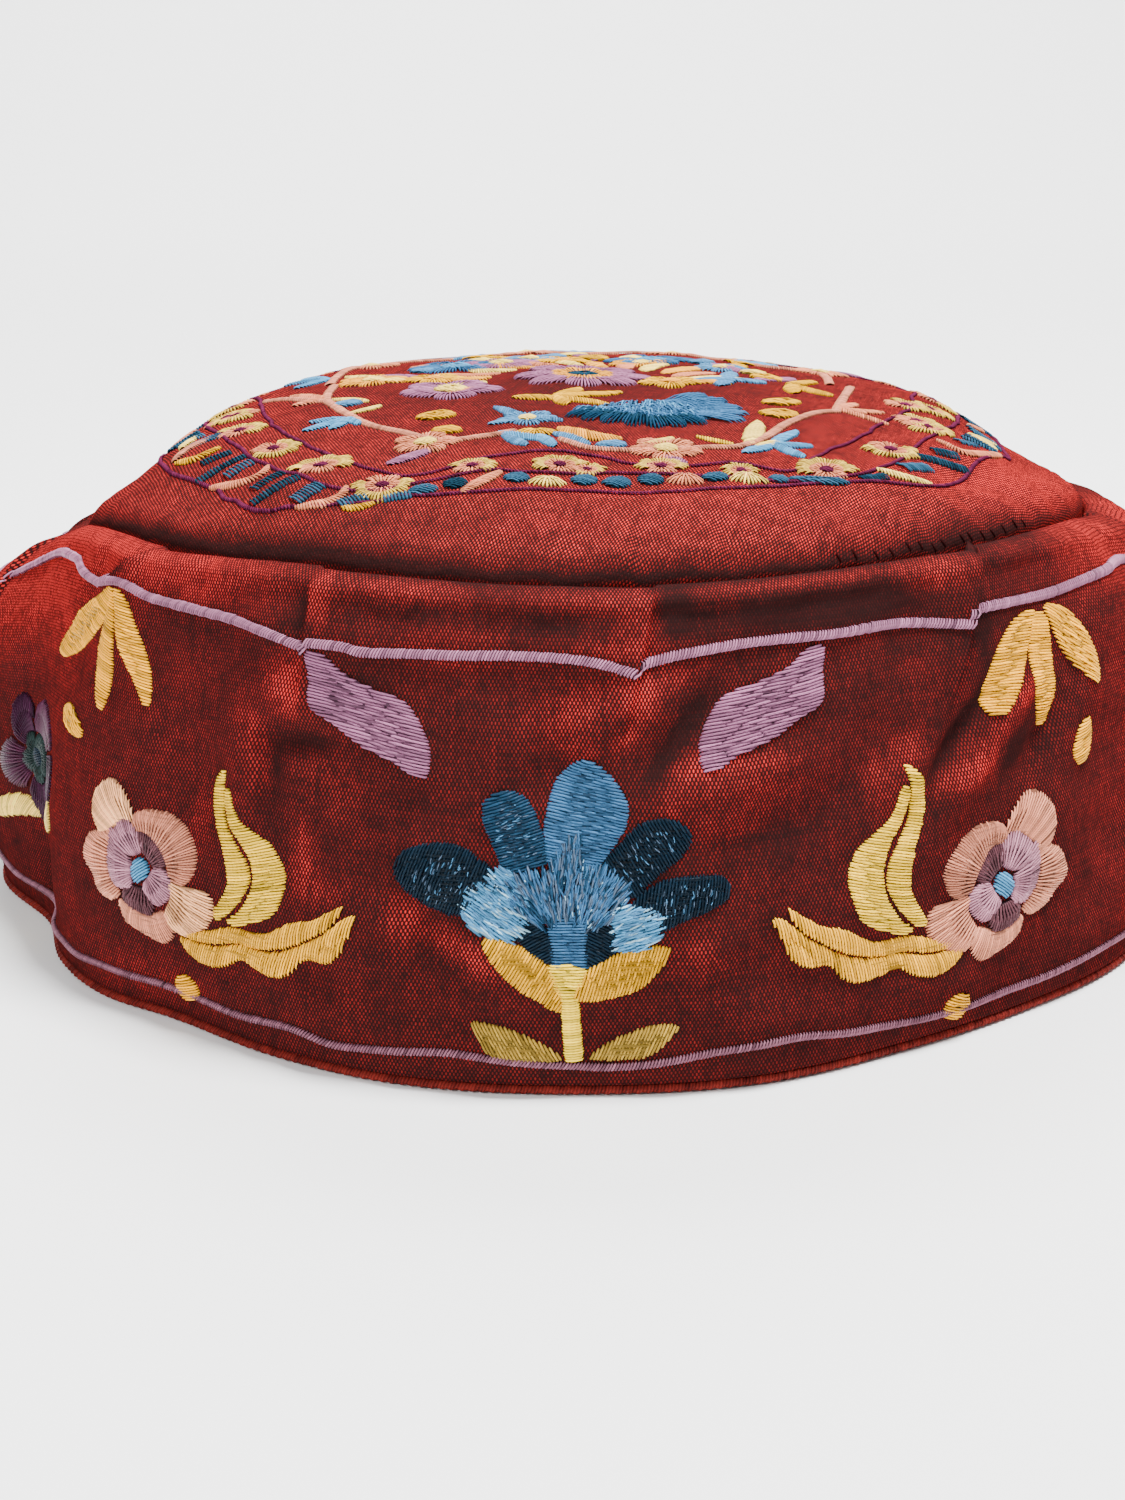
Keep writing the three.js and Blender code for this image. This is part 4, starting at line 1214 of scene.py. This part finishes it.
def sew_cords(work):
    work.at(0, 0)
    # each cord lies over a darker cord that paints shade between its wraps
    for line in UPPER_CORD:
        work.core(line, 0.8, "cord lilac", 0.04)
        work.ribbon(line, 1.5, 62, "cord lilac", pitch=0.43, rise=0.52, thread=0.35)
    line = [(-289 + 20 * k, 64.4 + 0.5 * math.sin(k * 2.1)) for k in range(13)]
    line += LOWER_CORD + [(84 + 20 * k, 64.4 + 0.5 * math.sin(k * 2.3)) for k in range(1, 11)]
    line.append((-289 + 2 * math.pi * BAND_TURN, 64.4))
    # the lower cord's lilac is painted darker than the upper cord's: painted shade
    work.core(line, 0.7, "shaded lilac", 0.04)
    work.ribbon(line, 1.30, 58, "shaded lilac", pitch=0.44, rise=0.46, thread=0.35)


# ---- the crown's garden ----

# Three wavy rings: angle, radius.
RINGS = {
    "outer": [(-180, 71.5), (-162, 67.5), (-144, 64.8), (-125, 67), (-108, 71), (-95, 68), (-80, 67),
      (-57, 70.6), (-50, 70.2), (-43, 73), (-36, 75), (-29, 73.2), (-21, 68.8), (-11, 66.2), (-4, 64.6),
      (4, 64.5), (11, 64.6), (21, 66), (36, 68.6), (44, 71.8), (52, 69.5), (66, 67.5), (80, 67.6),
      (94, 68.6), (108, 71.2), (125, 67), (144, 64.8), (162, 67.5)],
    "middle": [(-180, 65.5), (-162, 61.5), (-144, 58.2), (-125, 61), (-108, 65), (-90, 61), (-78, 60),
      (-65, 60.4), (-48, 63.6), (-40, 65.9), (-32, 69), (-25, 68.2), (-17, 61.9), (-13, 59), (-7, 58.8),
      (2, 58.2), (13, 59.6), (22, 63.6), (33, 66.2), (40, 65.4), (54, 60.6), (75, 59), (92, 61),
      (108, 65.2), (125, 61), (144, 58.2), (162, 61.5)],
    "inner": [(-180, 59), (-162, 54), (-144, 50), (-125, 54), (-108, 58), (-94, 52.8), (-75, 51.5),
      (-55, 54.4), (-40, 57.6), (-29, 62), (-21, 60.8), (-15, 53.4), (-9, 49.4), (2, 50.8), (5, 53),
      (14, 56.8), (21, 57.4), (27, 61.4), (35, 57.8), (43, 55.2), (60, 51), (79, 52.2), (94, 54),
      (108, 58.5), (125, 54), (144, 50), (162, 54)],
}


def ring_radius(name, angle):
    return round_value(np.array(RINGS[name], float), angle, 1)


def on_ring(angle, radius):
    """The flat point of the crown at an angle and a radius."""
    return polar(angle, radius, 0)[..., :2]


def ring_line(name):
    angles = np.arange(-180, 181, 3)
    return on_ring(angles, ring_radius(name, angles) + random.normal(0, 0.16, len(angles)))


# Bars, crescents and shells between the outer and the middle ring.
BORDER_BARS = [
    ((-62.5, -21), (-58.5, -20), 2.4), ((-58.9, -26.6), (-55.4, -24.4), 2.6),
    ((-56, -37.4), (-52.2, -36.4), 2.2), ((-56.2, -42.2), (-49.6, -40.2), 1.8),
    ((-51.5, -44.5), (-48.2, -43.2), 2.6), ((-46.5, -53), (-42.9, -51.3), 2.6),
    ((-46.2, -57.4), (-40.1, -55.5), 2.2), ((-39.9, -60.9), (-36.8, -58.8), 2.8),
    ((-33.5, -64.2), (-30.2, -63), 2.2), ((-27.4, -64.2), (-24, -64), 1.8),
    ((-24, -64.3), (-20.4, -62.1), 2.2), ((-19.3, -63.2), (-16.4, -61.2), 2.6),
    ((-11.2, -60.7), (-7.9, -60.4), 2.8), ((-2, -60.8), (1.3, -60.5), 2.8),
    ((2.4, -61.2), (5.9, -60.8), 2.9), ((7.2, -60), (10.4, -59.8), 2.6),
    ((16, -58.9), (19.4, -58.8), 2), ((25.3, -57.9), (27.8, -58.4), 2),
    ((28.2, -58.6), (36.2, -56.6), 1.8), ((38.4, -55.8), (41.8, -53.6), 1.8),
    ((45, -48.9), (48.8, -46), 2.6), ((48.1, -42), (55.3, -40.8), 2.4),
    ((51, -37.4), (54.4, -36.8), 2.6), ((56.2, -27.4), (58.9, -26), 2.4),
]
BORDER_CRESCENTS = [
    ([(-61, -32), (-59.6, -28), (-56.4, -24.8)], 2.4, "peach"),
    ([(-60.6, -33.4), (-57.4, -34.8), (-54.2, -33)], 2, "gold"),
    ([(-53.8, -45.4), (-49.6, -48.6), (-46.4, -48.8), (-45.3, -46.2)], 2.2, "pink"),
    ([(-39.7, -62.4), (-36.1, -63.4), (-33.6, -62.3), (-33, -60.2)], 2, "pink"),
    ([(-33, -65.4), (-31, -65.4), (-29, -64.8)], 1.6, "gold"),
    ([(-16.7, -65), (-14.4, -62), (-12, -58.4)], 2.6, "pink"),
    ([(52.4, -31.4), (55.8, -34.4), (60.4, -30.2), (63.4, -23.4)], 2.2, "pink"),
    ([(40.9, -51.8), (44.3, -52.4), (48.4, -52.4)], 2.2, "yellow"),
    ([(60.6, -12), (64, -7), (66.6, -2)], 2.2, "yellow"),
]
BORDER_SHELLS = [(-5.4, -61.4, "yellow"), (13.6, -59.4, "pink"), (22.2, -58.6, "yellow")]

# Small round flowers between the middle and the inner ring: x, y, radius, opening angle.
RING_FLOWERS = [
    (-52.2, -24.2, 4.4, 140), (-45.4, -38.8, 4.2, 60), (-37.4, -50.4, 5, 170), (-28, -60.2, 4.6, 0),
    (-15.8, -55.6, 3.6, 150), (-3.7, -54.9, 4.2, 200), (0.2, -56.6, 2.6, 60), (10.4, -55.2, 3.8, 180),
    (21.4, -56.6, 2.8, 200), (33.6, -53.2, 4.6, 190), (44.2, -40.7, 4.6, 20), (52.2, -22, 4.6, 60),
    (51.2, -6, 4.4, 100), (-56.4, -9, 4.4, 120),
]


def sew_border(work):
    work.at(0, 0)
    for start, end, width in BORDER_BARS:
        shade = "dark teal" if random.random() < 0.5 else "teal blue"
        if -26 < start[0] < 40 and start[1] < -56:
            middle = (np.array(start) + end) / 2
            work.dot(*middle, (end[0] - start[0]) / 2 + 0.1, width / 2 + 0.1, shade, rise=0.35)
        else:
            work.ribbon([start, end], width, 80, shade, rise=0.3)
    for line, width, shade in BORDER_CRESCENTS:
        work.ribbon(line, width, 60, shade, taper=0.45, rise=0.3)
    for x, y, shade in BORDER_SHELLS:
        work.shell(x, y + 2.0, 0.3, 4.2, -48, 48, shade, lobes=3)
    for x, y, size, mouth in RING_FLOWERS:
        small_flower(work, x, y, size, mouth)
    for base in (70, 85, 100, 115, 130, 145, 160, 175, -170, -155, -140, -125, -110, -95, -80):
        small_flower(work, *on_ring(base, ring_radius("middle", base) - 4.6), 4.5, base + 20)
        edge = ring_radius("outer", base + 5) - 3.4
        for k in range(3):
            low, high = on_ring(base + 2.2 * k, edge - 2.4), on_ring(base + 2.2 * k + 0.8, edge + 2.0)
            work.ribbon([low, high], 1.7, 80, "dark teal" if k % 2 else "teal blue", rise=0.3)
        spread = on_ring(base + np.array([8.0, 10.5, 12.5]), edge + np.array([-1.5, 0.6, 1.8]))
        work.ribbon(spread, 2.2, 60, "pink" if int(base / 5) % 2 else "yellow", taper=0.45, rise=0.3)


def small_flower(work, x, y, size, mouth):
    """A scalloped half ring of yellow round pink petals, with a plum eye."""
    work.shell(x, y, size * 0.20, size * 0.62, mouth - 130, mouth + 130, "pink", lobes=3, depth=0.2)
    work.shell(x, y, size * 0.50, size, mouth - 115, mouth + 115, "pale olive", lobes=5, depth=0.22,
               rise=0.3)
    work.shell(x, y, size * 0.24, size * 0.85, mouth + 130, mouth + 230, "pink", lobes=2, depth=0.2)
    work.dot(x, y, size * 0.19, size * 0.19, "ring plum", rise=0.35)


def sew_rings(work):
    work.at(0, 0)
    # the seam's own thread shows where the crown is gathered
    for angle in np.arange(25, 53, 1.9):
        turn = angle + random.normal(0, 0.3)
        work.stitch(on_ring(turn, 79.2), on_ring(turn + 0.3, 79.9), "seam brown", 0.30, 0.04)
    for name in RINGS:
        work.ribbon(ring_line(name), 0.78, 38, "ring plum", pitch=0.5, rise=0.24, thread=0.44)


VINE = [
    [(-40.4, 2.5), (-40.5, -8.4), (-37.4, -19), (-33.3, -28.2), (-27.7, -34.9), (-23.4, -40.6),
      (-19.2, -42.6), (-15.2, -40.6), (-10.3, -37.6)],
    [(-3.7, -42.9), (0.4, -46.5), (5.2, -48), (8.5, -48), (16.8, -46.1), (21.6, -45.5), (25.5, -40.2),
      (29.6, -31.1), (34.1, -24.2), (38.5, -20.5)],
    [(38.5, -20.5), (40.9, -8.2), (43.6, 4.7)],
    [(-46.2, -4.9), (-40.7, -9.6)],
    [(-51.3, -0.4), (-46.2, -4.9)],
]


def blossom(work, x, y, size, petals, shade, centre, turn=0.0, eye=0.3):
    for k in range(petals):
        middle = turn + 360 / petals * k
        half = 170 / petals
        work.shell(x, y, size * eye, size, middle - half, middle + half, shade, lobes=1, depth=0.32)
    work.dot(x, y, size * eye, size * eye, centre, rise=0.4)


def sew_garden(work):
    work.at(0, 0)
    for line in VINE:
        work.ribbon(line, 1.7, 65, "peach", rise=0.26)
    # front: blue leaves with gold between, and the big blue flower
    work.leaf((-12.5, -38.4), (-5, -43.4), 3.4, "light blue", bend=0.6)
    work.leaf((-12, -39), (-8.4, -45.4), 3, "blossom blue")
    work.leaf((-7, -40), (-4.4, -46.4), 3, "light blue")
    work.leaf((-4.5, -39.5), (0.6, -45), 3.2, "blossom blue")
    work.shell(-7.2, -36.4, 0.4, 4.2, -60, 60, "gold", lobes=3)
    work.leaf((-3.9, -37), (5, -42.4), 4.6, "orange gold", bend=-1)
    work.dot(3.6, -45.6, 2.2, 1.6, "blossom blue")
    work.shell(9, -25, 6, 16, 62, 152, "steel blue", lobes=5, depth=0.14)
    work.satin([(0.6, -26), (6, -31.2), (12, -31.6), (18, -30), (19.4, -22), (16, -16), (12.2, -18.6),
                (9.3, -21.6)], 60, "steel blue")
    work.shell(9, -22, 6.5, 14.6, -62, 44, "slate blue", lobes=7, depth=0.16, rise=0.3)
    work.shell(9, -21, 9, 13.8, -56, 40, "dark teal", lobes=9, depth=0.2, rise=0.4)
    work.meadow([(-1.6, -26.6), (3, -30), (12, -30.6), (17.4, -27), (16.4, -21.4), (9.3, -20), (3, -23)],
                (9, -8), ["light blue", "steel blue", "blossom blue", "steel blue"], 2.6, 1.7,
                rise=0.42, width=0.3)
    # pink blossoms on the vine, with lilac leaves under them
    blossom(work, -23, -43, 5.2, 5, "pink", "yellow", turn=20)
    work.leaf((-22.6, -46.8), (-27.4, -52.4), 3.6, "lilac")
    work.dot(-20.2, -37.4, 2.2, 1.6, "gold")
    blossom(work, 11.4, -47, 5.6, 5, "pink", "yellow", turn=0)
    work.leaf((11, -50.6), (14, -53.6), 2.6, "lilac")
    work.leaf((8.4, -45.4), (12.4, -41.6), 2.2, "yellow")
    work.leaf((21, -44.2), (16.2, -40.6), 1.6, "olive")
    # light-blue sprigs with yellow leaves at the forks
    work.leaf((23.8, -43.6), (25.6, -30.6), 4, "yellow")
    work.leaf((24.7, -44.8), (28, -40.6), 2.6, "yellow")
    work.sprig((27, -42.6), 3, "light blue", (22.6, -48.4), (31, -48.2), (32.4, -42.4), (31, -34))
    work.sprig((-35.6, -26), 3, "light blue", (-41.6, -30.6), (-41.2, -25.8), (-37.4, -31.2), (-33.4, -29))
    work.leaf((-35.6, -22.8), (-31.4, -18), 2, "yellow")
    work.leaf((-39.4, -9.4), (-33.4, -14.8), 2.2, "yellow")
    work.dot(-36.6, -15.2, 2.2, 1.6, "blossom blue")
    # forks at the sides
    work.sprig((38.8, -18), 2.8, "pink", (43.1, -17.6), (46, -23.8), (42.6, -11), (46.2, -16))
    work.sprig((-40.6, -7.6), 3.2, "pink", (-46.8, -2.4), (-45.4, -9.6), (-44.6, -5))
    # loose dots
    for x, y in ((-22.3, -27.5), (30.6, -15.4), (29.4, -24.6)):
        work.dot(x, y, 2.9, 2.2, "gold")
    # flowers of the middle
    blossom(work, -34.1, 5.1, 6.4, 6, "orange gold", "yellow")
    blossom(work, -21, -7, 8.6, 5, "lilac", "yellow", turn=10)
    blossom(work, -8.6, -30, 4.8, 5, "blossom blue", "yellow")
    work.sprig((-8.6, -28.6), 3, "blossom blue", (-13.6, -23.4), (-3.4, -32.4), (-13.8, -33.4))
    work.sprig((-4.4, -17), 3.4, "gold",
               (-10.7, -17.2), (-0.7, -10.7), (-2.4, -21.4), (3.6, -21.6), (5.7, -11))
    blossom(work, 0, 3, 11.4, 8, "lilac", "dark teal", eye=0.22)
    work.shell(0, 3, 2.4, 6, 0, 360, "orange gold", lobes=8, depth=0.3, rise=0.45)
    blossom(work, 14, -1.6, 5.6, 5, "gold", "orange gold")
    work.sprig((23.4, 1.4), 4, "blossom blue", (17.4, -2.4), (29.2, 1.4), (24.3, 10.1), (22, -5))
    work.leaf((21.7, 20.6), (26.9, 13.1), 4.6, "lilac")
    work.sprig((33.6, 1.4), 4, "gold", (37.8, 8.2), (39.6, -5.4), (33.6, -6))
    # a wreath of gold and pink leaves round the middle
    for k, angle in enumerate(range(75, 290, 15)):
        work.leaf(on_ring(angle, 16), on_ring(angle + 9, 23.5 + 3 * (k % 2)), 4.4,
                  ("orange gold", "yellow", "pink")[k % 3], bend=1, rise=0.06)
    for k, angle in enumerate(range(100, 275, 25)):
        work.leaf(on_ring(angle, 29), on_ring(angle + 8, 36), 4.6,
                  ("lilac", "gold", "peach")[k % 3], bend=-1, rise=0.06)
        work.dot(*on_ring(angle + 14, 31), 2.2, 1.8, "blossom blue" if k % 2 else "yellow")


def sew_back_garden(work):
    """The half behind repeats the front's design, turned to either side."""
    for turn in (144, -144):
        work.at(0, 0, turn=turn)
        work.ribbon([(-29, -29), (-24, -36.5), (-19.2, -40.6), (-10.3, -39), (-3.7, -42), (5.2, -45),
                     (16.8, -43.1), (24.5, -36.2), (30.6, -28.1)], 1.7, 65, "peach", rise=0.26)
        work.sprig((-5.6, -38), 3.2, "light blue", (-10, -43.4), (-6.4, -45.4), (-2.4, -44.8))
        work.shell(-5.6, -36.4, 0.4, 4.2, -60, 60, "gold", lobes=3)
        blossom(work, -19, -43, 5.2, 5, "pink", "yellow")
        blossom(work, 12.4, -45, 5.4, 5, "pink", "yellow")
        work.leaf((-19, -47), (-22, -52.4), 3.4, "lilac")
        work.sprig((26.4, -35.6), 3, "light blue", (27, -43.4), (32, -40.2), (33.4, -34))
        work.leaf((24, -34), (22.4, -24.6), 3.6, "yellow")
        blossom(work, 6, -28, 8.2, 6, "steel blue", "light blue")
        blossom(work, -9, -27.6, 5.2, 5, "blossom blue", "yellow")
        blossom(work, 17, -18, 5.6, 5, "gold", "orange gold")
        work.dot(-20, -24, 2.8, 2.2, "gold")
    work.at(0, 0)
    blossom(work, -14, 20, 7.4, 5, "lilac", "yellow", turn=40)
    blossom(work, 10, 22, 6, 5, "orange gold", "yellow", turn=10)


# ---- the scene ----


def make_floor():
    """A pale floor that sweeps up behind the cap into a plain wall; all in metres."""
    deselect()
    bpy.ops.mesh.primitive_grid_add(x_subdivisions=1, y_subdivisions=48, size=2)
    floor = bpy.context.object
    floor.name = floor.data.name = "floor"
    near, flat, bend, wall = -3.2, 4.4, 0.7, 2.8
    for vertex in floor.data.vertices:
        run = (vertex.co.y + 1) / 2 * (flat + wall)
        turn = min(max(run - flat, 0) / bend, math.pi / 2)
        vertex.co.x *= 5
        vertex.co.y = near + min(run, flat) + bend * math.sin(turn)
        vertex.co.z = bend * (1 - math.cos(turn)) + max(run - flat - bend * math.pi / 2, 0)
    bpy.ops.object.shade_smooth()
    floor.data.materials.append(pale_floor())


def softbox(name, place, aim, size, power):
    lamp = bpy.data.lights.new(name, "AREA")
    lamp.shape = "DISK"
    lamp.size = size
    lamp.energy = power
    light = bpy.data.objects.new(name, lamp)
    bpy.context.scene.collection.objects.link(light)
    light.location = place
    away = np.array(place) - np.array(aim)
    pitch = math.acos(away[2] / np.linalg.norm(away))
    light.rotation_euler = (pitch, 0, math.atan2(away[1], away[0]) + math.pi / 2)


silk = shot_silk()
make_band(silk)
make_crown(silk)
make_edging(wound_edge())

yarn = satin_thread("satin_thread", THREAD_GLOSS)
dull_yarn = satin_thread("dull_thread", 0.0)
for name, place, sew in (
    ("lotus_petal_stitches", on_band, [sew_lotus_petals]),
    ("lotus_fringe_stitches", on_band, [sew_lotus_fringe]),
    ("rosette_stitches", on_band, [sew_rosettes]),
    ("leaf_stitches", on_band, [sew_leaves, sew_purple]),
    ("lilac_cord_stitches", on_band, [sew_cords]),
    ("crown_ring_stitches", on_crown, [sew_rings]),
    ("crown_border_stitches", on_crown, [sew_border]),
    ("crown_garden_stitches", on_crown, [sew_garden, sew_back_garden]),
):
    above = place is on_crown
    work = Needlework(place, CROWN_THREAD_SHADE if above else 1.0)
    for part in sew:
        part(work)
    make_threads(name, work, dull_yarn if above else yarn)

make_floor()
softbox("key_softbox", (0.20, -0.06, 0.90), (0, 0, 0.05), 0.26, 27.0)
softbox("fill_softbox", (-0.60, -0.75, 0.60), (0, 0, 0.04), 0.4, 9.0)
softbox("wall_softbox", (0.0, 1.3, 1.9), (0, 2.2, 0.5), 1.4, 110.0)

world = bpy.data.worlds.new("studio")
world.use_nodes = True
world.node_tree.nodes["Background"].inputs["Color"].default_value = (1, 1, 1, 1)
world.node_tree.nodes["Background"].inputs["Strength"].default_value = 0.45
bpy.context.scene.world = world

# the camera that the photograph was taken with, as fitted to the cap's seam and rim
CAMERA_TILT = 17.8
lens = bpy.data.cameras.new("camera")
lens.sensor_width = 36
lens.lens = 56.06
camera = bpy.data.objects.new("camera", lens)
bpy.context.scene.collection.objects.link(camera)
camera.location = (-0.0033, -0.3763, 0.1385)
camera.rotation_euler = (math.radians(90 - CAMERA_TILT), 0, 0)
bpy.context.scene.camera = camera
